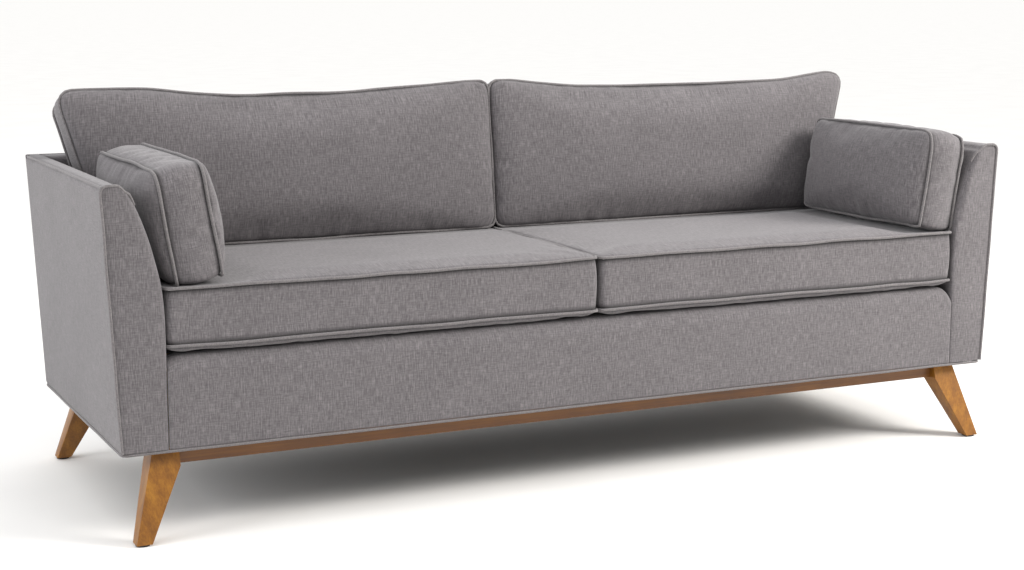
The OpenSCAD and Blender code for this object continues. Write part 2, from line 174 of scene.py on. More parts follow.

# %% [markdown]
# ## The cloth
# The cover is a linen-look weave of polyester and cotton: warp and weft yarns of uneven thickness, so
# that short slubs show as small darker and lighter dashes along both directions. A real yarn is about 0.9
# mm wide; it is drawn 2.1 mm wide here, because finer ones would vanish at this distance. The pattern
# lies on each piece's own UV map, laid out in metres, so that it follows the cloth round every curve. A
# little sheen stands for the fuzz that catches light at the edges, and a per-point attribute paints
# shade into the cloth's colour where it dives into a seam, darkening it as the shadow in that crease
# would. Welt is cut on the bias and is seen from all round, so its yarns are drawn on Object coordinates
# instead. The weave could also come from a brick or a wave texture, but those repeat exactly; noise
# stretched along both yarn directions is as uneven as spun yarn.

# %% Woven linen-look cloth
YARN = 1 / (2.1 * MM)
SLUB = 1 / (22 * MM)
FUZZ = 1 / (5 * MM)
CLOUD = 7.0  # dye clouds to the metre
WEAVE_WEIGHTS = (0.46, 0.26, 0.20, 0.08)  # warp, weft, fuzz and cloudy dye


def linen_cloth(name, dark, mid, light, on_uv=True):
    """Woven cloth with slubs both ways, cloudy dye and painted shade that darkens the seams."""
    material, tree, shader = blank_material(name, mid, 0.86, Sheen_Weight=0.22, Sheen_Roughness=0.5)
    if on_uv:
        place = add(tree, "ShaderNodeUVMap", uv_map="weave").outputs[0]
        stretch = [(YARN, SLUB, 1.0), (SLUB, YARN, 1.0), (FUZZ, FUZZ, 1.0), (CLOUD, CLOUD, 1.0)]
    else:
        place = add(tree, "ShaderNodeTexCoord").outputs["Object"]
        stretch = [(YARN, YARN, SLUB * 4), (SLUB * 4, YARN, YARN), (YARN,) * 3, (CLOUD,) * 3]
    layers = [(cells, 2.5, 0.5, weight) for cells, weight in zip(stretch, WEAVE_WEIGHTS)]
    cloth = pattern(tree, shader, place, layers, [(0.355, dark), (0.50, mid), (0.645, light)],
                    gloss=(2, 0.76, 0.96), relief=(None, 0.5, 1.2 * MM))
    # Painted shade: where the seam attribute is set, the cloth's colour is multiplied towards dark grey,
    # standing in for the shadow in a seam's crease.
    seam = add(tree, "ShaderNodeAttribute", attribute_name="seam_shade").outputs["Fac"]
    shaded = add(tree, "ShaderNodeMix", {0: seam, 6: cloth}, {7: paint("#5F5C5D")},
                 data_type="RGBA", blend_type="MULTIPLY")
    tree.links.new(shaded.outputs[2], shader.inputs["Base Color"])
    return material


linen = linen_cloth("linen_look_weave_grey", "#484446", "#605C5E", "#777274")
welt_linen = linen_cloth("linen_look_weave_bias_welt", "#585455", "#6A6667", "#7B7776", on_uv=False)
deck_cloth = linen_cloth("plain_woven_deck_cloth", "#4A4748", "#585555", "#666363")
print("cloths:", linen.name, welt_linen.name, deck_cloth.name)

# %% [markdown]
# ## The timber
# The legs and rails of the base are a fine-grained hardwood such as rubberwood, sanded, stained a golden
# oak colour and sealed with a satin lacquer: thin darker streaks run along each board, pores show as
# short fine dashes and the lacquer gives a soft clear highlight. Each leg leans two ways, so its grain is
# turned with it by a Mapping node. The boards inside the body are the same kinds of wood left raw and
# sawn. Growth rings could be drawn with a wave texture. On flat boards cut along the trunk the figure is
# long broken streaks, and stretched noise gives those directly.

# %% Stained hardwood and raw boards
GRAIN = 1 / (3.2 * MM)
ALONG = 9  # fewer cells to the metre than this is along the grain
BOARD = {"x": (1.6, GRAIN, GRAIN), "y": (GRAIN, 1.6, GRAIN), "z": (GRAIN, GRAIN, 2.2)}


def hardwood(name, along, dark, mid, light, rough, coat, turn=(0, 0, 0)):
    """Wood with its grain along an axis: wide figure, fine streaks and short pores."""
    material, tree, shader = blank_material(name, mid, rough, Coat_Weight=coat, Coat_Roughness=0.28)
    place = add(tree, "ShaderNodeTexCoord").outputs["Object"]
    place = add(tree, "ShaderNodeMapping", {"Vector": place}, {"Rotation": turn}).outputs[0]
    run = BOARD[along]
    figure = [c * (0.16 if c > ALONG else 1.2) for c in run]
    streaks = [c * (1.0 if c > ALONG else 3.0) for c in run]
    pores = [c * (3.0 if c > ALONG else 22.0) for c in run]
    blotch = (14.0, 14.0, 14.0)
    layers = [(figure, 3.0, 0.55, 0.42), (streaks, 3.0, 0.6, 0.30), (pores, 1.0, 0.5, 0.12),
              (blotch, 2.0, 0.5, 0.16)]
    pattern(tree, shader, place, layers, [(0.34, dark), (0.50, mid), (0.66, light)],
            gloss=(1, rough - 0.07, rough + 0.10), relief=(None, 0.22, 0.6 * MM))
    return material


LEG_TILT = math.atan2(51 * MM, 180 * MM) * 0.7
LEG_NAMES = {-1: "left", 1: "right"}, {-1: "front", 1: "rear"}
leg_wood = {}
for side in (-1, 1):
    for end in (-1, 1):
        leg_wood[side, end] = hardwood(
            f"golden_oak_stain_satin_{LEG_NAMES[0][side]}_{LEG_NAMES[1][end]}", "z", "#5E3602", "#80500A",
            "#9C6A18", 0.42, 0.12, (end * LEG_TILT * 0.9, -side * LEG_TILT, 0))
# The rail has the legs' stain in darker colours: painted shade for a rail set back under the body, behind
# the legs.
rail_wood = hardwood("golden_oak_stain_satin_rail", "x", "#4A2A05", "#653B08", "#7C4E10", 0.46, 0.1)
raw_wood = {axis: hardwood(f"raw_sawn_hardwood_{axis}", axis, "#A88755", "#C6A674", "#DABF92", 0.75, 0.0)
            for axis in "xyz"}
print("woods:", len(leg_wood) + 1 + len(raw_wood))

# %% [markdown]
# ## Other finishes
# Each of these is one real finish: moulded black nylon for the foot glides and zip coils, bright zinc
# plate on the bolts, oil-blackened spring wire, woven jute-like elastic webbing, spun-bonded black cloth for
# the dust cover under the seat, and the woven tape of the zips. One function makes them all, because each is
# an even grain: a fine layer over a wide one that mottles it.

# %% Plastic, metal, webbing and dust cloth


def grained(name, colour, rough, cells, tones, bump, **sockets):
    """A material with fine even grain in its colour, roughness and bump."""
    material, tree, shader = blank_material(name, colour, rough, **sockets)
    place = add(tree, "ShaderNodeTexCoord").outputs["Object"]
    wide = [c * 0.05 for c in cells]
    pattern(tree, shader, place, [(cells, 3.0, 0.6, 0.65), (wide, 2.0, 0.5, 0.35)],
            [(0.36, tones[0]), (0.64, tones[1])],
            gloss=(None, rough - 0.08, rough + 0.08), relief=(0, *bump))
    return material


# Moulded nylon: dark, slightly glossy, with the fine grain of the mould.
nylon = grained("moulded_black_nylon", "#1B1A1A", 0.5, (900,) * 3, ("#141313", "#242323"), (0.2, 0.2 * MM))
# Bright zinc plate: a pale metal with soft blurred reflections.
zinc = grained("bright_zinc_plated_steel", "#B9BCBD", 0.32, (1200,) * 3, ("#A4A8AA", "#CFD1D1"),
               (0.1, 0.1 * MM), Metallic=1.0)
# Oil-blackened wire: a darker metal, smooth enough to show long highlights.
spring_wire = grained("oil_blackened_spring_wire", "#4A4B4E", 0.38, (700,) * 3, ("#3A3B3E", "#5E5F62"),
                      (0.15, 0.1 * MM), Metallic=1.0)
# Spun-bonded cloth: matt black with a faint fibrous mottle.
dust_cloth = grained("spun_bonded_black_dust_cloth", "#2A2A2B", 0.9, (520, 520, 40), ("#202021", "#383839"),
                     (0.4, 0.4 * MM), Sheen_Weight=0.1)
# Elastic webbing: jute brown, with its ribs across the band.
webbing = grained("woven_elastic_webbing", "#6F5B3F", 0.85, (40, 700, 900), ("#55452E", "#8C7653"),
                  (0.6, 0.8 * MM))
# Zip tape: a tight grey weave with a slight rib.
zip_cloth = grained("woven_zip_tape", "#55504F", 0.8, (1100, 240, 1100), ("#474342", "#66605E"),
                    (0.5, 0.3 * MM))
print("finishes:", len(bpy.data.materials))

# %% [markdown]
# ## From points to a piece
# Every soft surface here is a grid of four-sided faces, because cloth and subdivision both behave best on
# one. This helper turns points and faces into a mesh, with a UV map in metres for the weave and a
# per-point attribute of painted shade along the seams, and one more lets a piece ride on its body and
# hides the nodes that it stands for. Sculpting could give the same surfaces, but a grid made by rule
# comes out the same on every run.

# %% Mesh and piece helpers


def new_mesh(name, points, faces, uvs=None, shade=None):
    """A mesh object with the weave's UV map, one UV for each face corner, and a painted seam shade for each
    point.
    """
    mesh = bpy.data.meshes.new(name)
    mesh.from_pydata([tuple(p) for p in points], [], [tuple(f) for f in faces])
    if uvs is not None:
        layer = mesh.uv_layers.new(name="weave")
        layer.data.foreach_set("uv", np.asarray(uvs, np.float32).ravel())
    # The shade attribute is painted shade: 1 on seam points, where the cloth is darkened as the shadow in a
    # seam's crease would.
    if shade is not None:
        stored = mesh.attributes.new("seam_shade", "FLOAT", "POINT")
        stored.data.foreach_set("value", np.asarray(shade, np.float32))
    mesh.shade_smooth()
    made = bpy.data.objects.new(name, mesh)
    scene.collection.objects.link(made)
    return made


def settle(piece, body, material, slot, *nodes):
    """Gives a piece its finish and body, and hides the nodes that it stands for; slot is not used."""
    if material is not None:
        piece.data.materials.clear()
        piece.data.materials.append(material)
    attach(piece, body)
    if nodes:
        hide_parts(*nodes)
    return piece


def apply_modifiers(piece):
    """Turns the piece's mesh into its evaluated one and drops the modifiers."""
    shown = piece.evaluated_get(bpy.context.evaluated_depsgraph_get())
    done = bpy.data.meshes.new_from_object(shown, preserve_all_data_layers=True,
                                           depsgraph=bpy.context.evaluated_depsgraph_get())
    piece.modifiers.clear()
    piece.data = done
    return piece


def point_array(mesh):
    co = np.empty(len(mesh.vertices) * 3, np.float32)
    mesh.vertices.foreach_get("co", co)
    return co.reshape(-1, 3).astype(float)


print("a new mesh is made from points, faces and UVs in metres")

# %% [markdown]
# ## Welt by Geometry Nodes
# Welt is a thin cord wrapped in the sofa's own cloth and sewn into a seam, so it follows a path. A small
# node tree does that: it takes the path's edges, makes them a curve, spaces its points evenly, sweeps a
# round profile along it and sets the material. The sizes are named inputs, and the same tree also draws
# the bent spring wire. A curve with a bevel depth could draw it too, but it would need its own conversion
# for each run of welt, where the tree turns any path into one plain mesh.

# %% The tree that sweeps a round cord along a path


def cord_tree(name):
    """Path edges in, swept cord out, with the radius, spacing and material as inputs."""
    tree = bpy.data.node_groups.new(name, "GeometryNodeTree")
    face = tree.interface
    face.new_socket("Geometry", in_out="INPUT", socket_type="NodeSocketGeometry")
    for label, start in (("Cord radius", 3 * MM), ("Point spacing", 6 * MM)):
        made = face.new_socket(label, in_out="INPUT", socket_type="NodeSocketFloat")
        made.default_value = start
    face.new_socket("Cord sides", in_out="INPUT", socket_type="NodeSocketInt").default_value = 8
    face.new_socket("Finish", in_out="INPUT", socket_type="NodeSocketMaterial")
    face.new_socket("Geometry", in_out="OUTPUT", socket_type="NodeSocketGeometry")
    given = add(tree, "NodeGroupInput").outputs
    line = add(tree, "GeometryNodeMeshToCurve", {0: given["Geometry"]})
    even = add(tree, "GeometryNodeResampleCurve",
               {"Curve": line.outputs[0], "Length": given["Point spacing"]}, mode="LENGTH")
    ring = add(tree, "GeometryNodeCurvePrimitiveCircle",
               {"Resolution": given["Cord sides"], "Radius": given["Cord radius"]})
    swept = add(tree, "GeometryNodeCurveToMesh",
                {"Curve": even.outputs[0], "Profile Curve": ring.outputs[0]}, {"Fill Caps": True})
    smooth = add(tree, "GeometryNodeSetShadeSmooth", {"Geometry": swept.outputs[0]})
    real = add(tree, "GeometryNodeRealizeInstances", {"Geometry": smooth.outputs[0]})
    finish = add(tree, "GeometryNodeSetMaterial",
                 {"Geometry": real.outputs[0], "Material": given["Finish"]})
    add(tree, "NodeGroupOutput", {0: finish.outputs[0]})
    return tree


def grown(name, start_mesh, tree, **sizes):
    """Runs a node tree on a mesh and keeps the result as a plain mesh object."""
    worker = bpy.data.objects.new(name + "_path", start_mesh)
    scene.collection.objects.link(worker)
    modifier = worker.modifiers.new("grow", "NODES")
    modifier.node_group = tree
    for item in tree.interface.items_tree:
        if item.item_type == "SOCKET" and item.in_out == "INPUT" and item.name.replace(" ", "_") in sizes:
            modifier[item.identifier] = sizes[item.name.replace(" ", "_")]
    worker.update_tag()
    bpy.context.view_layer.update()
    graph = bpy.context.evaluated_depsgraph_get()
    mesh = bpy.data.meshes.new_from_object(worker.evaluated_get(graph), depsgraph=graph)
    bpy.data.objects.remove(worker)
    mesh.name = name
    made = bpy.data.objects.new(name, mesh)
    scene.collection.objects.link(made)
    return made


SWEEP = cord_tree("swept_cord")


def path_mesh(name, lines):
    """Edges along each line of points; a line is (points, closed)."""
    points, edges = [], []
    for line, closed in lines:
        first, count = len(points), len(line)
        points += [tuple(p) for p in line]
        edges += [(first + i, first + i + 1) for i in range(count - 1)]
        if closed:
            edges.append((first + count - 1, first))
    mesh = bpy.data.meshes.new(name)
    mesh.from_pydata(points, edges, [])
    return mesh


def cord_piece(name, lines, radius, spacing, material, sides=8):
    """A cord swept along lines, as one plain mesh."""
    return grown(name, path_mesh(name, lines), SWEEP, Cord_radius=radius, Point_spacing=spacing,
                 Cord_sides=sides, Finish=material)


print("node tree:", SWEEP.name, "with", len(SWEEP.nodes), "nodes")

# %% [markdown]
# ## Loose cushions: how one is cut and sewn
# A box cushion is two panels joined by a strip called boxing, with welt sewn into both seams. It is built
# the same way here. Each panel is a grid stretched between the four rounded sides of its outline, and
# rows of boxing run from one seam to the other, so all the faces are four-sided. The seams are drawn in a
# little between the corners, where filling pulls the cloth, and they wander by a millimetre or two as
# sewn seams do. A scaled cube with a subdivision surface would be quicker, but it has no seam to sew the
# welt into and its cloth has no grain to follow.

# %% The outline and its panels
CELL = 12 * MM
BOXING_ROWS = 9
TIGHT_EDGE = 38 * MM
LIP_WIDTH = 27 * MM
GATHER_REACH = 45 * MM
GATHER_STEP = 2.3  # rim cells in a gather
DOME_POWER = 0.75


def rounded_sides(sides, radii):
    """Four sides of an outline, each from the middle of one rounded corner to the middle of the next."""
    arcs = []
    for k, radius in enumerate(radii):
        corner = np.array(sides[k][0], float)
        back = np.array(sides[k - 1][-2], float) - corner
        ahead = np.array(sides[k][1], float) - corner
        back, ahead = back / np.linalg.norm(back), ahead / np.linalg.norm(ahead)
        half = math.acos(float(np.clip(back @ ahead, -1, 1))) / 2
        middle = (back + ahead) / np.linalg.norm(back + ahead)
        centre = corner + middle * radius / math.sin(half)
        start, end = corner + back * radius / math.tan(half), corner + ahead * radius / math.tan(half)
        turn = np.linspace(0, 1, 13)[:, None]
        chord = start * (1 - turn) + end * turn - centre
        arcs.append(centre + chord / np.linalg.norm(chord, axis=1)[:, None] * radius)
    made = []
    for k in range(4):
        inner = np.array(sides[k][1:-1], float).reshape(-1, 2)
        made.append(np.vstack([arcs[k][6:], inner, arcs[(k + 1) % 4][:7]]))
    return made


def spaced(line, count):
    """The line with count steps of equal length."""
    steps = np.r_[0, np.cumsum(np.linalg.norm(np.diff(line, axis=0), axis=1))]
    wanted = np.linspace(0, steps[-1], count + 1)
    return np.column_stack([np.interp(wanted, steps, line[:, a]) for a in range(line.shape[1])])


def eased(line, rounds=12, keep=5):
    """Smooths a side's own bends, but not the rounded corners at its ends."""
    line = line.copy()
    for _ in range(rounds if len(line) > 4 * keep else 0):
        before, after = line[keep - 1:-keep - 1], line[keep + 1:len(line) - keep + 1]
        line[keep:-keep] = (before + 2 * line[keep:-keep] + after) / 4
    return line


def drawn_in(line, inwards, depth, bow=0.75):
    """Moves a side inwards between its corners, as a filled cushion pulls its seams."""
    share = np.linspace(0, 1, len(line))
    return line + np.outer(np.sin(np.pi * share) ** bow * depth, inwards)


def panel_grid(sides):
    """A grid stretched between four sides: the first runs along the bottom, the next up the right."""
    bottom, right, top, left = sides[0], sides[1], sides[2][::-1], sides[3][::-1]
    s, t = np.linspace(0, 1, len(bottom))[:, None, None], np.linspace(0, 1, len(right))[None, :, None]
    along = (1 - t) * bottom[:, None] + t * top[:, None]
    up = (1 - s) * left[None] + s * right[None]
    corners = ((1 - s) * (1 - t) * bottom[0] + s * (1 - t) * bottom[-1]
               + (1 - s) * t * top[0] + s * t * top[-1])
    return along + up - corners


def nearest_rim(flat, outline, batch=400):
    """For each point of a panel: how far its rim is, the way to it and which rim point it is."""
    gap, to_rim, hits = np.empty(len(flat)), np.empty((len(flat), 2)), np.empty(len(flat), int)
    for k in range(0, len(flat), batch):
        block = outline[None] - flat[k:k + batch, None]
        far = np.sqrt((block ** 2).sum(2))
        nearest = far.argmin(1)
        gap[k:k + batch], hits[k:k + batch] = far.min(1), nearest
        to_rim[k:k + batch] = block[np.arange(len(block)), nearest]
    return gap, to_rim, hits


def wander(points, seed, size, length):
    """A smooth wobble of each point, one number each."""
    shift = Vector((seed * 7.31, seed * 3.17, seed * 5.03))
    return np.array([noise.noise(Vector(p) / length + shift) for p in points]) * size


class Cushion:
    """One loose cushion in its own directions: u and v across its face and w through its thickness.

    Sides are the four sides of each panel's outline, seam_w is where the two seams lie, crown is
    (share of the edge's puff, height of the dome) for each panel, edge is the shape along the seams, and
    place is the origin and the three directions in the sofa's own axes.
    """

    def __init__(self, name, seed, back_sides, front_sides, seam_w, crown, edge, place,
                 boxing_turned=False):
        self.name, self.seed, self.place, self.boxing_turned = name, seed, place, boxing_turned
        counts = [max(6, round(np.linalg.norm(side[-1] - side[0]) / CELL)) for side in front_sides[:2]] * 2
        loops = [[eased(spaced(side, n)) for side, n in zip(sides, counts)]
                 for sides in (back_sides, front_sides)]
        self.grids = [panel_grid(loop) for loop in loops]
        across, up = self.grids[0].shape[:2]
        rim = [(i, 0) for i in range(across - 1)] + [(across - 1, j) for j in range(up - 1)]
        rim += [(i, up - 1) for i in range(across - 1, 0, -1)] + [(0, j) for j in range(up - 1, 0, -1)]
        self.points, self.faces, self.uvs, self.seams = [], [], [], []
        for which in (0, 1):
            self.add_panel(which, rim, seam_w[which], crown[which], edge)
        self.add_boxing(seam_w, len(rim))
        self.points = np.array(self.points)
        self.wobble(edge)
        # Painted shade: the seam points are marked 1, and the cloth is darkened there as the shadow in a
        # seam's crease.
        self.shade = np.zeros(len(self.points))
        self.shade[self.seams[0] + self.seams[1]] = 1.0

    def add_panel(self, which, rim, w, crown, edge):
        """One crowned panel: it puffs up from its seam, gathers along it and domes in the middle."""
        grid = self.grids[which]
        across, up = grid.shape[:2]
        outline = np.array([grid[i, j] for i, j in rim])
        flat = grid.reshape(-1, 2).copy()
        gap, to_rim, hits = nearest_rim(flat, outline)
        lip = edge["lip"] * np.sin(np.pi * np.clip(gap / LIP_WIDTH, 0, 1))
        tight = gap * np.clip(gap / TIGHT_EDGE, 0, 1) - lip
        flat += to_rim * ((gap - tight) / np.maximum(gap, 1e-9))[:, None]
        near = np.clip(gap / edge["reach"], 0, 1)
        puff = edge["puff"] * np.sqrt(1 - (1 - near) ** 2)
        gathers = np.array([noise.noise(Vector((k / GATHER_STEP, self.seed, which * 5.0)))
                            for k in range(len(rim))])
        fade = np.clip(gap / CELL, 0, 1) * np.exp(-gap / GATHER_REACH)
        puff += edge["gathers"] * gathers[hits] * fade
        s, t = np.linspace(0, 1, across), np.linspace(0, 1, up)
        dome = np.outer((4 * s * (1 - s)) ** DOME_POWER, (4 * t * (1 - t)) ** DOME_POWER).ravel()
        height = w + (1 if which else -1) * (puff * crown[0] + dome * crown[1])
        first = len(self.points)
        self.points += [(*spot, w_here) for spot, w_here in zip(flat, height)]
        for i in range(across - 1):
            for j in range(up - 1):
                quad = [(i, j), (i + 1, j), (i + 1, j + 1), (i, j + 1)]
                quad = quad if which else quad[::-1]
                self.faces.append([first + a * up + b for a, b in quad])
                self.uvs += [tuple(grid[q]) for q in quad]
        self.seams.append([first + i * up + j for i, j in rim])

    def add_boxing(self, seam_w, count):
        """The strip between the two seams, in straight rows."""
        first, last = self.seams
        points = self.points
        lengths = [np.linalg.norm(np.subtract(points[last[k]], points[last[(k + 1) % count]]))
                   for k in range(count)]
        run = np.r_[0, np.cumsum(lengths)]
        rows = [first]
        for r in range(1, BOXING_ROWS):
            share = r / BOXING_ROWS
            rows.append(list(range(len(points), len(points) + count)))
            for a, b in zip(first, last):
                points.append(tuple(np.array(points[a]) * (1 - share) + np.array(points[b]) * share))
        rows.append(last)
        self.rows = rows
        for r in range(BOXING_ROWS):
            low, high = seam_w[0] + np.array([r, r + 1]) / BOXING_ROWS * (seam_w[1] - seam_w[0])
            for k in range(count):
                n = (k + 1) % count
                self.faces.append([rows[r][k], rows[r][n], rows[r + 1][n], rows[r + 1][k]])
                strip = [(run[k], low), (run[k + 1], low), (run[k + 1], high), (run[k], high)]
                self.uvs += [spot[::-1] for spot in strip] if self.boxing_turned else strip

    def wobble(self, edge):
        """Lets the seams wander as sewn seams do, and rounds the boxing outwards."""
        seam = np.array(self.seams[0] + self.seams[1])
        self.points[seam, 2] += wander(self.points[seam], self.seed, 3.0 * MM, 0.13)
        self.points[seam, :2] += wander(self.points[seam], self.seed + 5, 2.2 * MM, 0.10)[:, None]
        middle = self.points[:, :2].mean(0)
        for r in range(1, BOXING_ROWS):
            share = math.sin(math.pi * r / BOXING_ROWS)
            away = self.points[self.rows[r], :2] - middle
            away /= np.linalg.norm(away, axis=1)[:, None]
            self.points[self.rows[r], :2] += away * share * edge["bulge"]

    def world(self, points):
        """Points in the sofa's own axes."""
        origin, u, v, w = self.place
        return np.asarray(origin) + np.asarray(points) @ np.array([u, v, w])


print("boxing rows:", BOXING_ROWS, "cell in mm:", CELL / MM)

# %% [markdown]
# ## Filling the cushions
# Real covers are cut slightly small and the filling swells them, which is what the cloth simulation does:
# air pressure pushes the panels out from inside while the welted seams hold. Gravity is off, because the
# filling carries the cloth. A cap keeps each point near where it started, and then the surfaces that the
# cushion rests on flatten it, so it stays in its own space. The same swelling could be drawn with sines,
# but only the simulation gives the small uneven puckers beside a seam.

# %% Swelling with cloth
FRAMES = 18


def swell(cushion, pressure, face_slack, boxing_slack, cap):
    """Runs the cloth simulation on a cushion's mesh and returns the points, capped.

    Slack is how much larger the cloth is than the shape, as a share: it lets the cloth puff and pucker.
    """
    worker = new_mesh(cushion.name + "_sim", cushion.points, cushion.faces)
    held = worker.vertex_groups.new(name="seams")
    held.add([int(i) for i in cushion.seams[0] + cushion.seams[1]], 1.0, "REPLACE")
    strip = worker.vertex_groups.new(name="boxing")
    strip.add([int(i) for row in cushion.rows[1:-1] for i in row], 1.0, "REPLACE")
    cloth = worker.modifiers.new("cloth", "CLOTH")
    settings = cloth.settings
    settings.quality, settings.mass, settings.air_damping = 5, 0.3, 2.0
    settings.tension_stiffness = settings.compression_stiffness = 18
    settings.shear_stiffness, settings.bending_stiffness = 6, 0.6
    settings.use_pressure, settings.uniform_pressure_force = True, pressure
    settings.shrink_min, settings.shrink_max = -face_slack, -boxing_slack
    settings.vertex_group_shrink = "boxing"
    settings.effector_weights.gravity = 0
    settings.vertex_group_mass, settings.pin_stiffness = "seams", 1.0
    cloth.collision_settings.use_collision = False
    cloth.collision_settings.use_self_collision = False
    cloth.point_cache.frame_start, cloth.point_cache.frame_end = 1, FRAMES
    for step in range(1, FRAMES + 1):
        scene.frame_set(step)
    shown = worker.evaluated_get(bpy.context.evaluated_depsgraph_get())
    after = point_array(shown.data)
    scene.frame_set(1)
    mesh = worker.data
    bpy.data.objects.remove(worker)
    bpy.data.meshes.remove(mesh)
    moved = after - cushion.points
    length = np.linalg.norm(moved, axis=1)
    print(cushion.name, "swells by", round(float(length.mean()) / MM, 1), "mm on average and",
          round(float(length.max()) / MM, 1), "mm at most")
    scale = np.where(length > cap, cap / np.maximum(length, 1e-9), 1.0)
    return cushion.points + moved * scale[:, None]


def sew(cushion, points, body, slot, nodes):
    """Makes the cushion and its welts from its final points and fits them to their body."""
    placed = cushion.world(points)
    piece = new_mesh(cushion.name, placed, cushion.faces, cushion.uvs, cushion.shade)
    sub = piece.modifiers.new("smooth", "SUBSURF")
    sub.levels = sub.render_levels = 1
    apply_modifiers(piece)
    if np.linalg.det(np.array(cushion.place[1:])) < 0:
        piece.data.flip_normals()
    settle(piece, body, linen, slot, *nodes)
    lines = []
    middle = points[:, :2].mean(0)
    for seam, side in zip(cushion.seams, (-1, 1)):
        line = points[seam].copy()
        away = line[:, :2] - middle
        line[:, :2] += away / np.linalg.norm(away, axis=1)[:, None] * WELT_OUT
        line[:, 2] += side * WELT_OUT
        lines.append((cushion.world(line), True))
    welt = cord_piece(cushion.name + "_welts", lines, WELT_R, 5 * MM, welt_linen)
    settle(welt, body, None, slot)
    return piece, welt


WELT_R = 3.2 * MM
WELT_OUT = 2.4 * MM

# %% [markdown]
# ## The six loose cushions
# Seat cushions are foam in a fibre wrap, so they are firm and nearly flat on top. Back cushions are
# softer, with a fuller front; their outer edges follow the arms and then spread over them, and their top
# seams sag in the middle. The arm pillows are fibre-filled, so their seams pull in most and their corners
# stay as small ears. Each pair is sewn from mirrored outlines with its own wobble, as real pairs differ a
# little. One class makes all six, because they differ only in their cutting patterns and in how hard they
# are filled.

# %% Where the cushions rest
right_back_low, right_back_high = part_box("back_cushion_cover_right")
SEAT_REST_Z = right_back_low.z
BACK_FOOT_Y = right_back_high.y - 335 * MM * math.sin(BACK_LEAN)
sin_back, cos_back = math.sin(BACK_LEAN), math.cos(BACK_LEAN)
sin_pillow, cos_pillow = math.sin(PILLOW_LEAN), math.cos(PILLOW_LEAN)
PILLOW_SPAN = (460 * MM, 236 * MM)
HAIR = 0.6 * MM


def mm(pairs):
    return [(a * MM, b * MM) for a, b in pairs]


def smooth_share(value):
    value = np.clip(value, 0, 1)
    return value * value * (3 - 2 * value)


def pillow_foot(side):
    low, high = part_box("arm_pillow_cover_" + side)
    inner = low.x if side == "right" else -high.x
    return inner + 50 * MM * cos_pillow, low.y, low.z + 50 * MM * sin_pillow


def press_seat(points, side):
    """Seat: rests on the deck under the back cushion and pillow, between the arm and its neighbour."""
    made = points.copy()
    u, v, w = made.T
    foot_u, foot_v, _ = pillow_foot(side)
    to_back = np.clip(BACK_FOOT_Y - 122 * MM - v, 0, None)
    to_pillow = np.hypot(np.clip(foot_u - 62 * MM - u, 0, None),
                         np.clip(v - foot_v - PILLOW_SPAN[0], 0, None))
    to_pillow = np.hypot(to_pillow, np.clip(foot_v - v, 0, None))
    rise = smooth_share(np.minimum(to_back / (150 * MM), to_pillow / (90 * MM))) * 14 * MM
    made[:, 2] = np.clip(w, DECK_Z + HAIR, SEAT_REST_Z - HAIR + rise)
    made[:, 0] = np.clip(u, HAIR, ARM_IN_X - 2 * HAIR)
    made[:, 1] = np.minimum(v, back_face_y(made[:, 2]) - 2 * HAIR)
    return made


def press_back(points, side):
    """Back: leans on the fixed back, stands on the seat and keeps off the arm."""
    made = points.copy()
    made[:, 2] = np.maximum(made[:, 2], HAIR)
    made[:, 0] = np.maximum(made[:, 0], HAIR)
    z = SEAT_REST_Z + made[:, 1] * cos_back + made[:, 2] * sin_back
    made[:, 1] += np.clip(SEAT_REST_Z + HAIR - z, 0, None) / cos_back
    z = SEAT_REST_Z + made[:, 1] * cos_back + made[:, 2] * sin_back
    beside = z < ARM_TOP_Z + 2 * HAIR
    made[beside, 0] = np.minimum(made[beside, 0], arm_inner_x(z[beside]) - 3 * HAIR)
    return made


def press_pillow(points, side):
    """Pillow: stands on the seat cushion and leans against the arm."""
    made = points.copy()
    foot_u, _, foot_z = pillow_foot(side)
    for _ in range(2):
        x = foot_u + made[:, 2] * cos_pillow + made[:, 1] * sin_pillow
        z = foot_z - made[:, 2] * sin_pillow + made[:, 1] * cos_pillow
        made[:, 1] += np.clip(SEAT_REST_Z + HAIR - z, 0, None) / cos_pillow
        limit = np.where(z < ARM_TOP_Z + 30 * MM, arm_inner_x(np.minimum(z, ARM_TOP_Z)) - 3 * HAIR, 9.0)
        made[:, 2] -= np.clip(x - limit, 0, None) / cos_pillow
    return made


print("cushions rest on the seat at", round(SEAT_REST_Z, 3), "m; pillows lean",
      round(math.degrees(PILLOW_LEAN), 1), "degrees")

# %% [markdown]
# ## Cutting patterns
# Each outline is a cutting pattern in millimetres, with its corners rounded. The seat is a plain oblong.
# The back cushions are cut to lean against flared arms, so their outer side steps outwards above the arm
# and their top edge dips in the middle. Drawing them as points keeps each bend where a cutter would put
# it; one smooth formula could not.

# %% Outlines of the cushions


def seat_sides(draw):
    box = mm([(3, -366), (957, -366), (957, 269.5), (3, 269.5)])
    sides = rounded_sides([[box[k], box[(k + 1) % 4]] for k in range(4)], [22 * MM] * 4)
    ways = [(0, 1), (-1, 0), (0, -1), (1, 0)]
    depths = [draw, draw * 0.3, draw * 0.6, draw * 0.3]
    return [drawn_in(side, way, depth) for side, way, depth in zip(sides, ways, depths)]


BACK_OUTER = [(951, -9.5), (968, 100), (998, 198), (1006, 237), (1018, 271), (1037, 336)]
BACK_TOPS = {
    "left": [(830, 345), (783, 336), (643, 322), (406, 322), (231, 331), (60, 342)],
    "right": [(985, 344), (953, 341), (850, 327), (602, 321), (375, 321), (199, 326), (70, 342)],
}
BACK_CORNERS = {"left": 344, "right": 337}


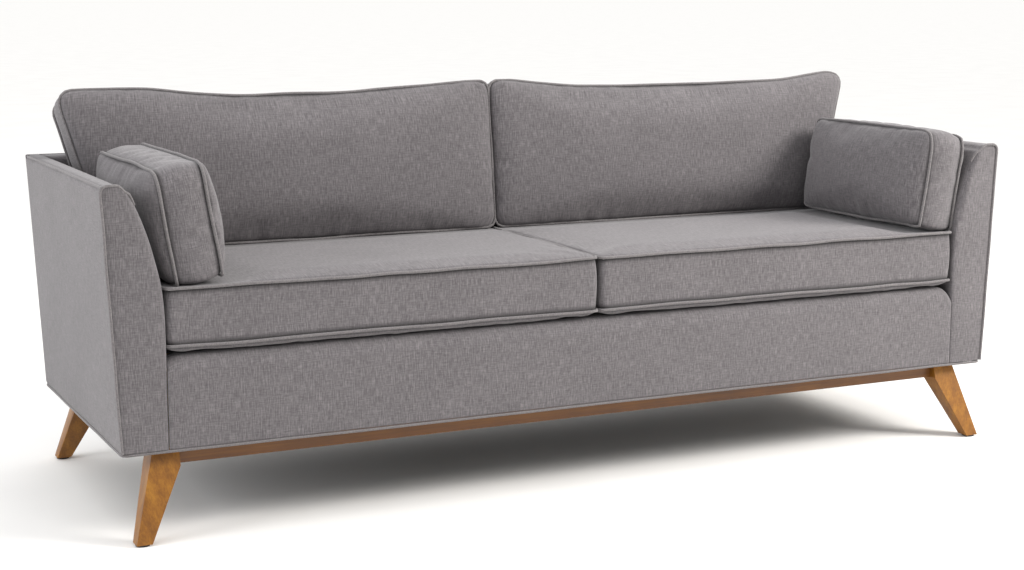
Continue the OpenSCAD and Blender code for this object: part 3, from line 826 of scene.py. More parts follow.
def back_front_sides(side):
    top_v = BACK_CORNERS[side]
    outer = BACK_OUTER[:-1] + [(1037, top_v)]
    top = [(1037, top_v)] + BACK_TOPS[side] + [(3, 343)]
    sides = [mm([(3, -9.5), (951, -9.5)]), mm(outer), mm(top), mm([(3, 343), (3, -9.5)])]
    return rounded_sides(sides, [20 * MM, 18 * MM, 27 * MM, 22 * MM])


def back_rear_sides():
    outer = [(949, 1), (966, 100), (994, 200), (1003, 237), (1013, 271), (1030, 328)]
    top = [(1030, 328), (500, 318), (4, 330)]
    sides = [mm([(4, 1), (949, 1)]), mm(outer), mm(top), mm([(4, 330), (4, 1)])]
    return rounded_sides(sides, [20 * MM, 18 * MM, 27 * MM, 22 * MM])


def pillow_sides(draw, ear):
    width, height = PILLOW_SPAN
    rear, high = width + 18 * MM, height + ear
    box = [(-ear, -1 * MM), (rear, -1 * MM), (rear, high), (-ear, high)]
    corner_radii = [20 * MM, 30 * MM, 44 * MM, 58 * MM]
    sides = rounded_sides([[box[k], box[(k + 1) % 4]] for k in range(4)], corner_radii)
    ways = [(0, 1), (-1, 0), (0, -1), (1, 0)]
    depths = [draw * 0.4, draw * 0.7, draw * 1.3, draw * 0.6]
    return [drawn_in(side, way, depth) for side, way, depth in zip(sides, ways, depths)]


print("back outline points:", {side: len(top) for side, top in BACK_TOPS.items()})

# %% [markdown]
# ## Sewing them up
# Each cushion is cut, swollen, pressed into its place and sewn with its welts, always in that order,
# because a welt made before the swelling would be left behind in the air.

# %% Sew and fill all six
def edge_shape(reach, puff, bulge_out, lip, gathers):
    """How a cushion's panels rise from their seams, in millimetres."""
    return {"reach": reach * MM, "puff": puff * MM, "bulge": bulge_out * MM, "lip": lip * MM,
            "gathers": gathers * MM}


def finish_cushion(kind, side, cushion, pressure, slack, cap, press):
    """Swells a cushion, presses it into its place and sews it with its welts."""
    filled = press(swell(cushion, pressure, *slack, cap), side)
    cushions[kind, side] = (cushion, filled)
    name = {"seat": "seat_cushion_", "back": "back_cushion_", "pillow": "arm_pillow_"}[kind]
    sew(cushion, filled, name + side, kind + "_fabric",
        [f"{name}{part}_{side}" for part in ("core", "cover")])


cushions = {}
for side, x_way, seed in (("left", -1, 11), ("right", 1, 23)):
    along = (x_way, 0, 0)
    seat = Cushion("seat_cushion_" + side + "_upholstered", seed, seat_sides(4 * MM), seat_sides(4 * MM),
                   (391 * MM, 501 * MM), ((2.0, 4 * MM), (1.0, 3 * MM)), edge_shape(45, 8, 4, 7, 3),
                   ((0, 0, 0), along, (0, 1, 0), (0, 0, 1)))
    finish_cushion("seat", side, seat, 0.5, (-0.003, 0.03), 22 * MM, press_seat)

    back = Cushion("back_cushion_" + side + "_upholstered", seed + 1, back_rear_sides(),
                   back_front_sides(side), (12 * MM, 112 * MM), ((0.6, 4 * MM), (1.0, 10 * MM)),
                   edge_shape(70, 17, 6, 5, 5),
                   ((0, BACK_FOOT_Y, SEAT_REST_Z), along, (0, sin_back, cos_back),
                    (0, -cos_back, sin_back)))
    finish_cushion("back", side, back, 2.2, (0.002, 0.03), 24 * MM, press_back)

    foot_u, foot_v, foot_z = pillow_foot(side)
    pillow = Cushion("arm_pillow_" + side + "_upholstered", seed + 2, pillow_sides(8 * MM, 3 * MM),
                     pillow_sides(8 * MM, 3 * MM), (-38 * MM, 50 * MM), ((1.0, 11 * MM), (1.0, 8 * MM)),
                     edge_shape(60, 16, 10, 5, 7),
                     ((x_way * foot_u, foot_v, foot_z), (0, 1, 0), (x_way * sin_pillow, 0, cos_pillow),
                      (x_way * cos_pillow, 0, -sin_pillow)), boxing_turned=True)
    finish_cushion("pillow", side, pillow, 4.0, (0.012, 0.035), 24 * MM, press_pillow)
print("cushions:", len(cushions))

# %% [markdown]
# ## The upholstered arms
# Each arm is a tapered box: the cover is one cloth wrapped over the top with a separate front panel, and
# welt is sewn round the front panel's outer and top edges and along the arm's outer top edge. The shell
# is a grid that runs up the outer side, over the top and down the curved inner side, and a second grid
# closes the front between those two lines. Padding under the cloth makes each panel bulge by a few
# millimetres. The arm could be a bevelled box, but the inner side opens on an arc, and a grid lets the
# weave run over the top without a break.

# %% Helpers for stretched covers
SIDE_STEPS = 40
CORNER_R = 19 * MM
OUTER_R = 14 * MM
SOFT_EDGE = 3.5 * MM
EDGE = 5 * MM
CLOTH_THICK = 2.4 * MM


def bulge(share, sharp=0.6):
    """Rises fast from both ends of 0..1 to 1 in the middle."""
    return np.sin(np.pi * np.clip(share, 0, 1)) ** sharp


def ripple(x, y, z, size):
    """The small unevenness of cloth pulled over padding."""
    return noise.noise(Vector((x * 3, y * 5, z * 6))) * size


def edged(low, high, steps):
    """Even steps with one more close to each end, which keeps the edge crisp when it is smoothed."""
    inner = np.linspace(low, high, steps + 1)
    step = math.copysign(EDGE, high - low)
    return np.r_[low, low + step, inner[1:-1], high - step, high]


def cover_piece(name, points, faces, uvs, flip, thick=CLOTH_THICK):
    """A cloth shell with its thickness laid inwards."""
    piece = new_mesh(name, points, faces, uvs, np.zeros(len(points)))
    if flip:
        piece.data.flip_normals()
    smooth = piece.modifiers.new("smooth", "SUBSURF")
    smooth.levels = smooth.render_levels = 1
    wall = piece.modifiers.new("cloth_thickness", "SOLIDIFY")
    wall.thickness, wall.offset = thick, -1
    return apply_modifiers(piece)


def sheet_grid(xs, ys, at):
    """A grid over two lists: at(x, y) gives each point and the UV is laid out in metres."""
    points = [at(x, y) for x in xs for y in ys]
    count = len(ys)
    faces, uvs = [], []
    for i in range(len(xs) - 1):
        for j in range(count - 1):
            corners = [(i, j), (i + 1, j), (i + 1, j + 1), (i, j + 1)]
            faces.append([a * count + b for a, b in corners])
            uvs += [(xs[a], ys[b]) for a, b in corners]
    return points, faces, uvs


print("cover cloth is", CLOTH_THICK / MM, "mm thick")

# %% The arm's grid


def arm_section():
    """The arm's outline across its width: up the outer side, over the top and down the inner side."""
    top_z = ARM_TOP_Z - 1.5 * MM
    heights = edged(BASE_Z + HAIR, top_z - CORNER_R * 0.75, SIDE_STEPS)
    outer = np.column_stack([arm_outer_x(heights) - 1.5 * MM, heights])
    inner = np.column_stack([arm_inner_x(heights), heights])[::-1]
    left, right = arm_outer_x(top_z) - 1.5 * MM, float(arm_inner_x(ARM_TOP_Z))
    turn = np.linspace(0, np.pi / 2, 5)[:-1]
    out_turn = np.linspace(0, np.pi / 2, 5)
    top = [(left - OUTER_R * (1 - math.cos(a)), top_z - OUTER_R * (1 - math.sin(a))) for a in out_turn]
    top += [(x, top_z) for x in np.linspace(left - OUTER_R, right + CORNER_R, 5)[1:-1]]
    top += [(right + CORNER_R * (1 - math.sin(a)), top_z - CORNER_R * (1 - math.cos(a))) for a in turn]
    return outer, np.array(top), inner


def arm_shell(side):
    way = -1 if side == "left" else 1
    outer, top, inner = arm_section()
    section = np.vstack([outer, top, inner])
    run = np.r_[0, np.cumsum(np.linalg.norm(np.diff(section, axis=0), axis=1))]
    depths = np.r_[FRONT_Y + HAIR, FRONT_Y + EDGE, np.linspace(FRONT_Y + 3 * EDGE, BACK_Y - 4 * MM, 50)]
    first_top, first_inner, last = len(outer), len(outer) + len(top), len(section) - 1
    points, faces, uvs, number = [], [], [], {}
    for i, (x, z) in enumerate(section):
        for j, y in enumerate(depths):
            held = bulge((y - FRONT_Y) / (BACK_Y - FRONT_Y), 0.4)
            if i < first_top:
                x_here = x + (3.5 * MM * bulge(i / first_top) + ripple(way, y, z, 1.8 * MM)) * held
            elif i >= first_inner:
                x_here = x - 2.0 * MM * smooth_share((z - SEAT_REST_Z) / 0.05) * held
            else:
                x_here = x
            if i >= first_inner - 2 and j < 2:
                soft = SOFT_EDGE * smooth_share((z - SEAT_REST_Z - 0.01) / 0.05)
                x_here, y = x_here + soft * (1 - j), y + soft * (1 + j)
            number[i, j] = len(points)
            points.append((way * x_here, y, z + (0.8 * MM * held if first_top <= i < first_inner else 0)))
    for i in range(last):
        for j in range(len(depths) - 1):
            corners = ((i, j), (i + 1, j), (i + 1, j + 1), (i, j + 1))
            faces.append([number[c] for c in corners])
            uvs += [(depths[b], run[a]) for a, b in corners]
    rows = []
    levels = len(outer)
    for k in range(levels - 1):
        arch = max(0.0, (k - levels + 10) / 9) ** 2.2
        row = [number[k, 0]]
        for m, spot in enumerate(top):
            share = 0.05 + 0.84 * m / (len(top) - 1)
            flat = section[k] * (1 - share) + section[last - k] * share
            spot = flat * (1 - arch) + spot * arch
            rise = 3.0 * MM * bulge(share, 0.5) * bulge((k + 1) / levels, 0.4)
            rise += ripple(spot[0] * 3, way, spot[1], 1.2 * MM) * bulge(share, 0.5)
            row.append(len(points))
            points.append((way * spot[0], FRONT_Y + HAIR - rise, spot[1]))
        rows.append(row + [number[last - k, 0]])
    rows.append([number[first_top - 1 + m, 0] for m in range(len(top) + 2)])
    for low, high in zip(rows, rows[1:]):
        for m in range(len(low) - 1):
            quad = [low[m], low[m + 1], high[m + 1], high[m]]
            faces.append(quad)
            uvs += [(points[q][0], points[q][2]) for q in quad]
    return points, faces, uvs


def along_arm_top(side):
    """The welt's path: up the outer front edge, over the top of the front panel to its inner corner."""
    way = -1 if side == "left" else 1
    _, top, inner = arm_section()
    rise = np.linspace(BASE_Z + 1 * MM, ARM_TOP_Z - 20 * MM, 60)
    up = [(arm_outer_x(z) + ripple(way, 2, z * 2, 1.5 * MM) - 1.0 * MM, z) for z in rise]
    over = [(x, z + 0.6 * MM + ripple(x * 9, 4, z, 0.8 * MM)) for x, z in top]
    line = up + over + [tuple(spot) for spot in inner[1:4]]
    sunk = np.r_[np.zeros(len(line) - 8), np.linspace(0.5, 3.5, 5), 6.5, 9.5, 12.5] * MM
    front = [(way * x, FRONT_Y - 0.6 * MM + deep, z) for (x, z), deep in zip(line, sunk)]
    back = []
    for y in np.linspace(FRONT_Y + 2 * MM, BACK_Y - 4 * MM, 60):
        shake = noise.noise(Vector((way * 3.0, y * 9, 1.0))) * 3.0 * MM
        back.append((way * (top[2][0] + shake * 0.5), y, top[2][1] + 0.4 * MM + shake * 0.4))
    return [(front, False), (back, False)]


arms = {}
for side in ("left", "right"):
    points, faces, uvs = arm_shell(side)
    arms[side] = cover_piece("arm_upholstery_" + side, points, faces, uvs, side == "right")
    settle(arms[side], "frame", linen, "body_fabric", "arm_cover_" + side, "arm_padding_" + side)
    welt = cord_piece("arm_welts_" + side, along_arm_top(side), 2.9 * MM, 6 * MM, welt_linen)
    settle(welt, "frame", None, "welt_fabric")
print("arms:", {side: len(arm.data.polygons) for side, arm in arms.items()})

# %% [markdown]
# ## Front border, inside back and outside back
# The front border is the padded strip below the seat cushions: it rises from the base, rolls over the
# spring rail and ends under the cushions, and it dips where it meets each arm. The inside back is what
# the loose cushions lean on, and the outside back is one flat panel that closes the body behind. All
# three are strips of one section run from side to side, so one grid function draws them. Three separate
# meshes could be modelled by hand; a section swept from side to side needs only its outline and a rule
# for where it gives way.

# %% Front border
ROLL_R = DECK_Z - 345 * MM
END_DIP = {-1: 14 * MM, 1: 26 * MM}


def border_section():
    up = [(FRONT_Y + HAIR, z) for z in edged(BASE_Z + HAIR, 340 * MM, 14)]
    turn = np.linspace(0, np.pi / 2, 9)
    roll = [(FRONT_Y + HAIR + ROLL_R * (1 - math.cos(a)), DECK_Z - ROLL_R * (1 - math.sin(a)))
            for a in turn]
    return np.array(up + roll + [(FRONT_Y + 40 * MM, DECK_Z)])


def strip(section, xs, shape):
    """A section of (y, z) points run along x; shape moves each point to its final place."""
    run = np.r_[0, np.cumsum(np.linalg.norm(np.diff(section, axis=0), axis=1))]
    points = [shape(x, y, z, s / run[-1]) for x in xs for (y, z), s in zip(section, run)]
    count, faces, uvs = len(section), [], []
    for i in range(len(xs) - 1):
        for j in range(count - 1):
            corners = [(i, j), (i + 1, j), (i + 1, j + 1), (i, j + 1)]
            faces.append([a * count + b for a, b in corners])
            uvs += [(xs[a], run[b]) for a, b in corners]
    return points, faces, uvs


def border_shape(x, y, z, share):
    side = -1 if x < 0 else 1
    near_arm = np.clip((abs(x) - (ARM_IN_X - 34 * MM)) / (34 * MM), 0, 1)
    dip = END_DIP[side] * (1 - math.sqrt(1 - 0.98 * near_arm ** 2))
    dip *= smooth_share((z - 290 * MM) / (80 * MM))
    rise = 2.6 * MM * bulge(share, 0.5) * bulge((x + ARM_IN_X) / (2 * ARM_IN_X), 0.3)
    out = rise + ripple(x, 5, z, 1.6 * MM) * bulge(share, 0.4)
    return (x, y - (out if z < 350 * MM else 0), min(z - dip, DECK_Z - HAIR))


border_xs = edged(-ARM_IN_X + 0.4 * MM, ARM_IN_X - 0.4 * MM, 110)
border = cover_piece("front_border_upholstery", *strip(border_section(), border_xs, border_shape), False)
settle(border, "frame", linen, "body_fabric", "border_cover", "border_padding")
print("front border faces:", len(border.data.polygons))

# %% [markdown]
# ## The two faces of the back
# The inside back rolls over at its top edge onto the top rail, and reaches the rounded inner edge of each
# arm, so nothing of the timber shows. The outside back is one flat blind-tacked panel with only a hint of
# padding. Both come from the same strip function as the front border.

# %% Inside back and outside back


def inside_back_section():
    face = [(back_face_y(z), z) for z in np.linspace(DECK_Z + HAIR, ARM_TOP_Z - 16 * MM, 30)]
    centre_y, centre_z = back_face_y(ARM_TOP_Z - 16 * MM) + 13 * MM, ARM_TOP_Z - 15 * MM
    turn = np.linspace(0.15, np.pi / 2, 6)
    corner = [(centre_y - 13 * MM * math.cos(a), centre_z + 13 * MM * math.sin(a)) for a in turn]
    top = [(y, ARM_TOP_Z - 2 * MM) for y in np.linspace(centre_y + 6 * MM, BACK_Y - 4 * MM, 6)]
    return np.array(face + corner + top)


def arm_inside_edge(z):
    """The arm's inner face with its rounded top corner, which the inside back runs up to."""
    over = max(0.0, z - (ARM_TOP_Z - 1.5 * MM - CORNER_R))
    return float(arm_inner_x(z)) + CORNER_R - math.sqrt(CORNER_R ** 2 - min(over, CORNER_R) ** 2)


def inside_back_shape(x, y, z, share):
    half = arm_inside_edge(z) + 0.5 * MM
    out = ripple(x, 8, z, 1.2 * MM) - 1.0 * MM
    return (x / ARM_IN_X * half, y - min(out, 0) * bulge(share, 0.4), z)


back_xs = np.linspace(-ARM_IN_X, ARM_IN_X, 100)
inside_back = cover_piece("inside_back_upholstery",
                          *strip(inside_back_section(), back_xs, inside_back_shape), False)
settle(inside_back, "frame", linen, "body_fabric", "inside_back_cover", "back_padding")


def outside_back_shape(x, y, z, share):
    half = arm_outer_x(z) - 1.5 * MM
    across = x / ARM_IN_X
    out = 2.5 * MM * bulge((across + 1) / 2, 0.4) * bulge(share, 0.4)
    out += ripple(x, 11, z, 1.4 * MM) * bulge((across + 1) / 2, 0.4) * bulge(share, 0.4)
    return (across * half, y + out, z)


outside_section = np.array([(BACK_Y - HAIR, z) for z in edged(BASE_Z + HAIR, ARM_TOP_Z - 1 * MM, 34)])
outside_xs = edged(-ARM_IN_X, ARM_IN_X, 100)
outside_back = cover_piece("outside_back_upholstery",
                           *strip(outside_section, outside_xs, outside_back_shape), True)
settle(outside_back, "frame", linen, "body_fabric", "outside_back_panel")
print("back faces:", len(inside_back.data.polygons), len(outside_back.data.polygons))

# %% [markdown]
# ## Sheets: deck cloth and dust cloth
# Under the seat cushions a plain hard-wearing deck cloth is stretched over the springs' padding, which
# saves the face cloth where nobody sees it. Under the sofa a thin black dust cloth closes the body; it
# sags a little between its fixings. Both are made as stretched sheets with the size they were cut to.
# They could be simulated too, but a taut sheet hardly moves, so a few rules for sag and ripple do it at
# no cost.

# %% Deck cloth and dust cloth


def deck_at(x, y):
    held = bulge((x + ARM_IN_X) / (2 * ARM_IN_X), 0.4) * bulge((y - FRONT_Y) / 0.64, 0.4)
    wire = 0.4 * MM * math.cos(2 * math.pi * (abs(x) - 75 * MM) / (133 * MM))
    return (x, y, DECK_Z - 0.8 * MM - (0.7 * MM - wire + ripple(x, y * 2, 1, 0.5 * MM)) * held)


deck_low, deck_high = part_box("deck_cover")
deck_xs = np.linspace(-ARM_IN_X + 1 * MM, ARM_IN_X - 1 * MM, 90)
deck_ys = np.linspace(deck_low.y, deck_high.y - HAIR, 36)
deck = cover_piece("deck_cloth_stretched", *sheet_grid(deck_xs, deck_ys, deck_at), False, 1.0 * MM)
settle(deck, "frame", deck_cloth, "deck_cloth", "deck_cover", "deck_pad")

dust_low, dust_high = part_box("dust_cover")
rail_in_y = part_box("base_rail_rear")[0].y - 12 * MM
DUST_HALF_SPAN = 0.90


def dust_at(x, y):
    sag = 0.0
    if abs(y) < rail_in_y:
        sag = bulge((x / DUST_HALF_SPAN + 1) / 2, 0.7) * bulge((y / rail_in_y + 1) / 2, 0.8)
    crease = noise.noise(Vector((x * 5, y * 16, 2.0))) * 1.2 * MM * sag
    return (x, y, dust_low.z + 0.5 * MM - 5 * MM * sag + crease)


dust_xs = np.linspace(dust_low.x, dust_high.x, 120)
dust_ys = np.linspace(dust_low.y, dust_high.y, 56)
dust = cover_piece("dust_cloth_stretched", *sheet_grid(dust_xs, dust_ys, dust_at), True, 0.4 * MM)
settle(dust, "frame", dust_cloth, "dust_cloth", "dust_cover")
print("sheets in mm:", [round(c / MM) for c in (dust_high - dust_low)])

# %% [markdown]
# ## Welt round the base of the body
# One run of welt goes right round the lower edge, where the covers are pulled under and fixed. It hides
# the tacks and gives the body a crisp line above the legs. It is the same swept cord as on the cushions,
# along a closed ring with rounded corners, so no new tool is needed.

# %% Base welt


def base_ring(radius=10 * MM, inset=2.5 * MM, level=180.6 * MM):
    half_x, half_y = ARM_BASE_X - inset, BACK_Y - inset
    line = []
    for k, (sx, sy) in enumerate(((1, 1), (-1, 1), (-1, -1), (1, -1))):
        for a in np.linspace(0, np.pi / 2, 7) + k * np.pi / 2:
            line.append((sx * (half_x - radius) + radius * math.cos(a),
                         sy * (half_y - radius) + radius * math.sin(a), level))
    closed = []
    for start, end in zip(line, line[1:] + line[:1]):
        steps = max(1, int(math.dist(start, end) / (40 * MM)))
        for s in np.linspace(0, 1, steps, endpoint=False):
            spot = np.array(start) * (1 - s) + np.array(end) * s
            spot[2] += noise.noise(Vector(spot) * 7) * 1.2 * MM
            closed.append(tuple(spot))
    return closed


base_welt = cord_piece("body_base_welt", [(base_ring(), True)], 3.2 * MM, 7 * MM, welt_linen)
settle(base_welt, "frame", None, "welt_fabric", "body_welts")
print("base welt in metres:", round(sum(math.dist(a, b) for a, b in zip(base_ring(), base_ring()[1:])), 2))

# %% [markdown]
# ## Legs and base rails
# The frame has their exact shapes, but with edges sharper than any sanded leg. Each is copied, its loose
# triangles are merged into flat faces again, and its edges are rounded by 2 mm with a bevel, which gives
# the wood the thin bright line that real edges catch. They could be modelled again by hand, but a copy of
# an exact shape cannot be wrong in its size.

# %% Rounded copies of the wooden parts


def rounded_copy(node, name, material, slot, radius):
    """A node's shape with its flat faces whole again and its edges sanded round."""
    source = frame["nodes"][node].data
    made = bmesh.new()
    made.from_mesh(source)
    bmesh.ops.remove_doubles(made, verts=made.verts, dist=0.03 * MM)
    bmesh.ops.dissolve_limit(made, angle_limit=math.radians(2), verts=made.verts, edges=made.edges)
    mesh = bpy.data.meshes.new(name)
    made.to_mesh(mesh)
    made.free()
    piece = bpy.data.objects.new(name, mesh)
    scene.collection.objects.link(piece)
    edge = piece.modifiers.new("sanded_edge", "BEVEL")
    edge.width, edge.segments, edge.limit_method, edge.angle_limit = radius, 3, "ANGLE", math.radians(35)
    edge.harden_normals = True
    apply_modifiers(piece)
    return settle(piece, "frame", material, slot, node)


for end_name, end in (("front", -1), ("rear", 1)):
    for side, way in (("left", -1), ("right", 1)):
        leg = f"leg_{end_name}_{side}"
        rounded_copy(leg, leg + "_sanded", leg_wood[way, end], "legs", 2 * MM)
    # The rails take the darker copy of the stain, painted shade for their place under the body.
    rounded_copy(f"base_rail_{end_name}", f"base_rail_{end_name}_sanded", rail_wood, "rail_wood", 1.5 * MM)
print("legs and rails rounded:", 6)

# %% [markdown]
# ## Sinuous seat springs
# The seat is carried by wires bent in a zigzag, front to back, clipped to the rails. Each wire is one
# path that swings from side to side, swept by the same node tree as the welt. A screw modifier could not
# make the zigzag; a path worked out from a flattened cosine gives the straight runs and the tight bends.

# %% Springs
spring_low, spring_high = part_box("seat_springs")
SPRING_TURNS = 18
WIRE_R = 1.9 * MM


def spring_line(centre_x):
    line = []
    for t in np.linspace(0, SPRING_TURNS, SPRING_TURNS * 9 + 1):
        swing = math.tanh(2.4 * math.cos(math.pi * t)) / math.tanh(2.4)
        y = spring_low.y + WIRE_R + (spring_high.y - spring_low.y - 2 * WIRE_R) * t / SPRING_TURNS
        line.append((centre_x + (24 * MM - WIRE_R) * swing, y, (spring_low.z + spring_high.z) / 2))
    return line


spring_xs = [way * (75 + 133 * k) * MM for way in (-1, 1) for k in range(7)]
springs = cord_piece("sinuous_seat_springs", [(spring_line(x), False) for x in spring_xs], WIRE_R, 4.5 * MM,
                     spring_wire, sides=7)
settle(springs, "frame", None, "spring_steel", "seat_springs")
print("springs:", len(spring_xs), "faces:", len(springs.data.polygons))

# %% [markdown]
# ## Zips
# Each seat and back cushion opens along a coil zip, in the rear boxing of the seat cushions and under the
# back cushions. The tape is a woven ribbon that lies on the boxing, and the coil is a row of small teeth:
# a node tree puts one tooth at each step along the zip's line and joins them. A real coil has a tooth
# each 1.5 mm; here they are 3 mm apart, so that they can still be seen. A slider with a pull closes one
# end. Teeth could be an array along a curve, but instances on an evenly spaced line stay upright and
# their pitch is a named input.

# %% The tree that sets zip teeth along a line


def teeth_tree(name):
    """A line in, teeth out: each a small rounded bar across the line, at a named pitch."""
    tree = bpy.data.node_groups.new(name, "GeometryNodeTree")
    face = tree.interface
    face.new_socket("Geometry", in_out="INPUT", socket_type="NodeSocketGeometry")
    face.new_socket("Tooth pitch", in_out="INPUT", socket_type="NodeSocketFloat").default_value = 3 * MM
    face.new_socket("Tooth size", in_out="INPUT", socket_type="NodeSocketVector")
    face.new_socket("Finish", in_out="INPUT", socket_type="NodeSocketMaterial")
    face.new_socket("Geometry", in_out="OUTPUT", socket_type="NodeSocketGeometry")
    given = add(tree, "NodeGroupInput").outputs
    line = add(tree, "GeometryNodeMeshToCurve", {0: given["Geometry"]})
    even = add(tree, "GeometryNodeResampleCurve",
               {"Curve": line.outputs[0], "Length": given["Tooth pitch"]}, mode="LENGTH")
    ball = add(tree, "GeometryNodeMeshUVSphere", values={"Segments": 6, "Rings": 4, "Radius": 0.5})
    tooth = add(tree, "GeometryNodeTransform",
                {"Geometry": ball.outputs["Mesh"], "Scale": given["Tooth size"]})
    row = add(tree, "GeometryNodeInstanceOnPoints",
              {"Points": even.outputs[0], "Instance": tooth.outputs[0]})
    real = add(tree, "GeometryNodeRealizeInstances", {"Geometry": row.outputs[0]})
    finish = add(tree, "GeometryNodeSetMaterial",
                 {"Geometry": real.outputs[0], "Material": given["Finish"]})
    add(tree, "NodeGroupOutput", {0: finish.outputs[0]})
    return tree


TEETH = teeth_tree("zip_teeth")


def joined(name, parts):
    """Joins objects into the first one's mesh, keeping each part's material."""
    bpy.ops.object.select_all(action="DESELECT")
    for part in parts:
        part.select_set(True)
    bpy.context.view_layer.objects.active = parts[0]
    bpy.ops.object.join()
    parts[0].name = name
    return parts[0]


def zip_on(cushion, points, body, node, low_u, high_u, face_v, slot):
    """A zip along the boxing of one long side: face_v is -1 for the low side and 1 for the high one."""
    middle = []
    for rows in (cushion.rows[4], cushion.rows[5]):
        spots = points[rows]
        edge = spots[:, 1].min() if face_v < 0 else spots[:, 1].max()
        on_side = np.abs(spots[:, 1] - edge) < 30 * MM
        spots = spots[on_side & (spots[:, 0] > low_u - 30 * MM) & (spots[:, 0] < high_u + 30 * MM)]
        middle.append(spots[np.argsort(spots[:, 0])])
    us = np.linspace(low_u, high_u, 60)
    centre = [np.column_stack([np.interp(us, m[:, 0], m[:, a]) for a in (1, 2)]) for m in middle]
    centre = (centre[0] + centre[1]) / 2
    out = centre[:, 0] + face_v * 0.9 * MM if face_v > 0 else np.full(len(us), -0.05 * MM)
    if face_v < 0:
        out -= (centre[:, 1] - 0) * sin_back / cos_back
    tape_w = (-13 * MM, -4 * MM, 4 * MM, 13 * MM)
    grid = []
    for k, u in enumerate(us):
        for w in tape_w:
            lean = -w * sin_back / cos_back if face_v < 0 else 0.0
            grid.append((u, out[k] + lean, centre[k, 1] + w))
    faces = [[4 * k + a, 4 * k + a + 1, 4 * k + a + 5, 4 * k + a + 4]
             for k in range(len(us) - 1) for a in range(3)]
    tape = new_mesh(cushion.name + "_tape", cushion.world(grid), faces)
    wall = tape.modifiers.new("tape_thickness", "SOLIDIFY")
    wall.thickness, wall.offset = 0.5 * MM, 0
    apply_modifiers(tape)
    tape.data.materials.clear()
    tape.data.materials.append(zip_cloth)
    line = [(u, v + face_v * 0.4 * MM, w) for u, v, w in zip(us, out, centre[:, 1])]
    worker = path_mesh(cushion.name + "_coil", [(cushion.world(line), False)])
    size = (1.9 * MM, 1.1 * MM, 5.5 * MM) if face_v > 0 else (1.9 * MM, 5.5 * MM, 0.9 * MM)
    coil = grown(cushion.name + "_coil", worker, TEETH, Tooth_pitch=3 * MM, Tooth_size=size, Finish=nylon)
    slider = zip_slider(cushion, (high_u - 14 * MM, out[-1], centre[-1, 1]), face_v)
    whole = joined(node + "_sewn", [tape, coil, slider])
    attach(whole, body)
    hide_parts(node)
    return whole


def zip_slider(cushion, spot, face_v):
    """A small wedge-shaped slider body with a flat pull."""
    made = bmesh.new()
    for size, shift in (((11, 1.6, 8), (0, 0.5, 0)), ((17, 0.9, 4.5), (-11, 1.0, 0))):
        if face_v < 0:
            size, shift = (size[0], 0.9, size[2]), (shift[0], 0.0, shift[2])
        box = bmesh.ops.create_cube(made, size=1.0)["verts"]
        for vert in box:
            taper = 0.8 if vert.co.x > 0 else 1.0
            vert.co = Vector((vert.co.x * size[0] + shift[0], vert.co.y * size[1] + face_v * shift[1],
                              vert.co.z * size[2] * taper + shift[2])) * MM + Vector(spot)
    bmesh.ops.bevel(made, geom=made.edges[:], offset=0.35 * MM, segments=2, affect="EDGES")
    for vert in made.verts:
        vert.co = Vector(cushion.world([tuple(vert.co)])[0])
    bmesh.ops.recalc_face_normals(made, faces=made.faces)
    mesh = bpy.data.meshes.new(cushion.name + "_slider")
    made.to_mesh(mesh)
    made.free()
    mesh.materials.append(zinc)
    slider = bpy.data.objects.new(mesh.name, mesh)
    scene.collection.objects.link(slider)
    return slider


print("node tree:", TEETH.name, "with", len(TEETH.nodes), "nodes")

# %% [markdown]
# ## Setting the zips in
# The seat cushions open at the rear of their boxing, and the back cushions underneath, where nobody sees
# the zip. One call makes each of them, and each rides on its own cushion.

# %% Zips on the seat and back cushions
for side in ("left", "right"):
    zip_on(*cushions["seat", side], "seat_cushion_" + side, "seat_cushion_zips_" + side,
           100 * MM, 860 * MM, 1, "zip_tape")
    zip_on(*cushions["back", side], "back_cushion_" + side, "back_cushion_zips_" + side,
           120 * MM, 820 * MM, -1, "zip_tape")
print("zips:", 4)

# %% [markdown]
# ## The parts inside
# The boards, fixings, springs' clips and webbing inside the body keep the frame's exact shapes. Each
# takes the finish of its own material, with the wood's grain along each board. They could be left out,
# since the cover hides them, but a part that is taken apart should show what is in it.

# %% Finishes for the inner parts
boards = {
    "x": ["frame_front_rail", "frame_rear_rail", "rear_spring_rail", "back_top_rail", "base_rail_dowels"],
    "y": ["frame_side_rail_left", "frame_side_rail_right", "frame_centre_stretcher", "arm_top_rail_left",
          "arm_top_rail_right", "arm_tack_rail_left", "arm_tack_rail_right"],
    "z": ["corner_blocks", "back_posts", "arm_front_form_left", "arm_front_form_right",
          "arm_rear_form_left", "arm_rear_form_right"],
}
inner_finish = {node: raw_wood[axis] for axis, nodes in boards.items() for node in nodes}
inner_finish |= {node: zinc for node in ("leg_bolts", "leg_nuts", "corner_block_screws", "spring_clips")}
inner_finish |= {"foot_glides": nylon, "back_webbing": webbing}
for node, finish in inner_finish.items():
    held = frame["nodes"][node]
    if not held.material_slots:
        held.data.materials.append(finish)
    for place in held.material_slots:
        place.material = finish
unfinished = [n for n, o in frame["nodes"].items() if not o.hide_render and n not in inner_finish]
print("inner parts finished:", len(inner_finish), "left:", unfinished)

# %% [markdown]
# ## Camera, floor and light
# The camera stands to the left of the sofa and looks slightly down on it. The light is that of a plain
# studio: one large soft key from the upper right, a weaker fill from the left, soft light from overhead
# and a near-white floor that sends some of it back. The floor is clear from below, so that the underside
# can be seen. The sky gets brighter with height, which makes the far floor melt into the background
# without an edge, as a curved paper sweep does in a studio.

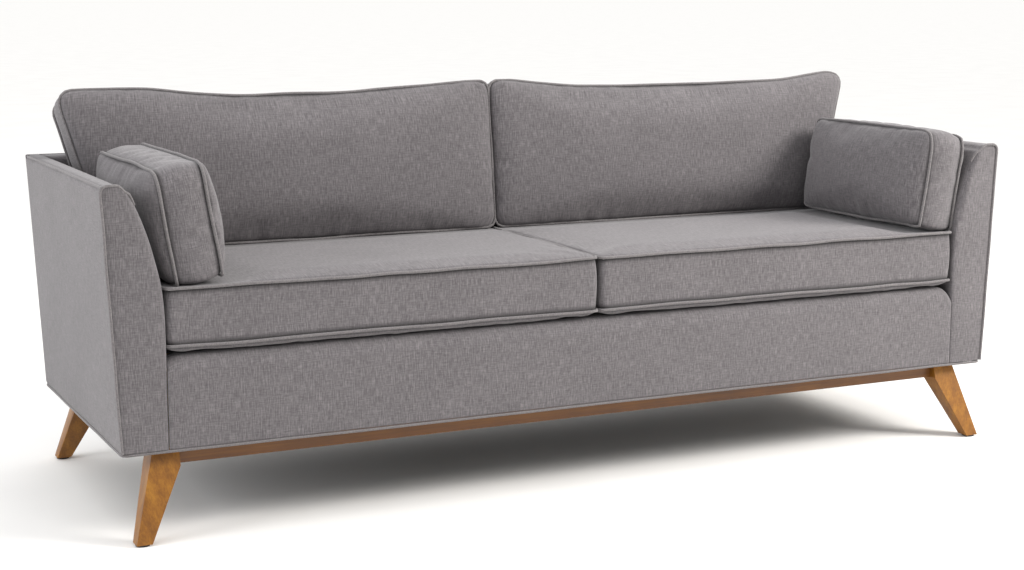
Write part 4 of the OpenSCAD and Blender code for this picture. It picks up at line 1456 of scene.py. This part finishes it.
# %% Camera
camera_data = bpy.data.cameras.new("studio_camera")
camera_data.lens, camera_data.sensor_width = 63.389, 36
camera = bpy.data.objects.new("studio_camera", camera_data)
camera.location = (-1.84344, -3.76207, 1.08256)
camera.rotation_euler = (math.radians(90 - 9.381), 0, math.radians(-25.632))
scene.collection.objects.link(camera)
scene.camera = camera


print("camera lens in mm:", camera_data.lens)

# %% [markdown]
# ## Floor and lights
# The floor is a matt near-white sheet, large enough that its edge is out of sight. Three sources light
# it: a key softbox, a weaker fill and the sky. More small lamps could do the same, but large soft ones
# give the even shadows of a studio with less noise.

# %% Floor and lights
floor_material, floor_tree, floor_shader = blank_material("matt_white_studio_floor", "#E9E8E6", 0.95)
floor_place = add(floor_tree, "ShaderNodeTexCoord").outputs["Object"]
pattern(floor_tree, floor_shader, floor_place, [((3, 3, 3), 2.0, 0.5, 1.0)],
        [(0.3, "#E7E6E4"), (0.7, "#EBEAE8")])
from_below = add(floor_tree, "ShaderNodeNewGeometry").outputs["Backfacing"]
clear = add(floor_tree, "ShaderNodeBsdfTransparent").outputs[0]
one_sided = add(floor_tree, "ShaderNodeMixShader", {0: from_below, 1: floor_shader.outputs[0], 2: clear})
surface = next(node for node in floor_tree.nodes if node.bl_idname == "ShaderNodeOutputMaterial")
floor_tree.links.new(one_sided.outputs[0], surface.inputs["Surface"])
FLOOR_HALF = 400
floor_corners = [(x * FLOOR_HALF, y * FLOOR_HALF, 0) for x, y in ((-1, -1), (1, -1), (1, 1), (-1, 1))]
floor = new_mesh("studio_floor", floor_corners, [(0, 1, 2, 3)])
floor.data.materials.append(floor_material)


def soft_light(name, place, aim, size, power, colour):
    """A square area light that faces a point."""
    data = bpy.data.lights.new(name, "AREA")
    data.shape, data.size, data.energy, data.color = "SQUARE", size, power, paint(colour)[:3]
    light = bpy.data.objects.new(name, data)
    light.location = place
    light.rotation_euler = (Vector(place) - Vector(aim)).to_track_quat("Z", "Y").to_euler()
    scene.collection.objects.link(light)


soft_light("key_softbox", (3.3, -2.35, 2.85), (0.4, 0, 0.5), 1.6, 232, "#FFFCF8")
soft_light("left_fill", (-5.6, -0.7, 2.3), (0.2, 0, 0.5), 2.2, 140, "#FBFCFF")
world = bpy.data.worlds.new("studio_air")
world.use_nodes = True
air = world.node_tree
height = add(air, "ShaderNodeSeparateXYZ", {0: add(air, "ShaderNodeTexCoord").outputs["Generated"]})
glow = add(air, "ShaderNodeMapRange", {"Value": height.outputs[2]},
           {"From Min": 0.05, "To Min": 0.1, "To Max": 1.85})
air.nodes["Background"].inputs["Color"].default_value = paint("#FFFFFF")
air.links.new(glow.outputs[0], air.nodes["Background"].inputs["Strength"])
scene.world = world
scene.view_settings.view_transform = "Standard"


print("lights:", [light.name for light in bpy.data.lights], "floor half-width:", FLOOR_HALF, "m")
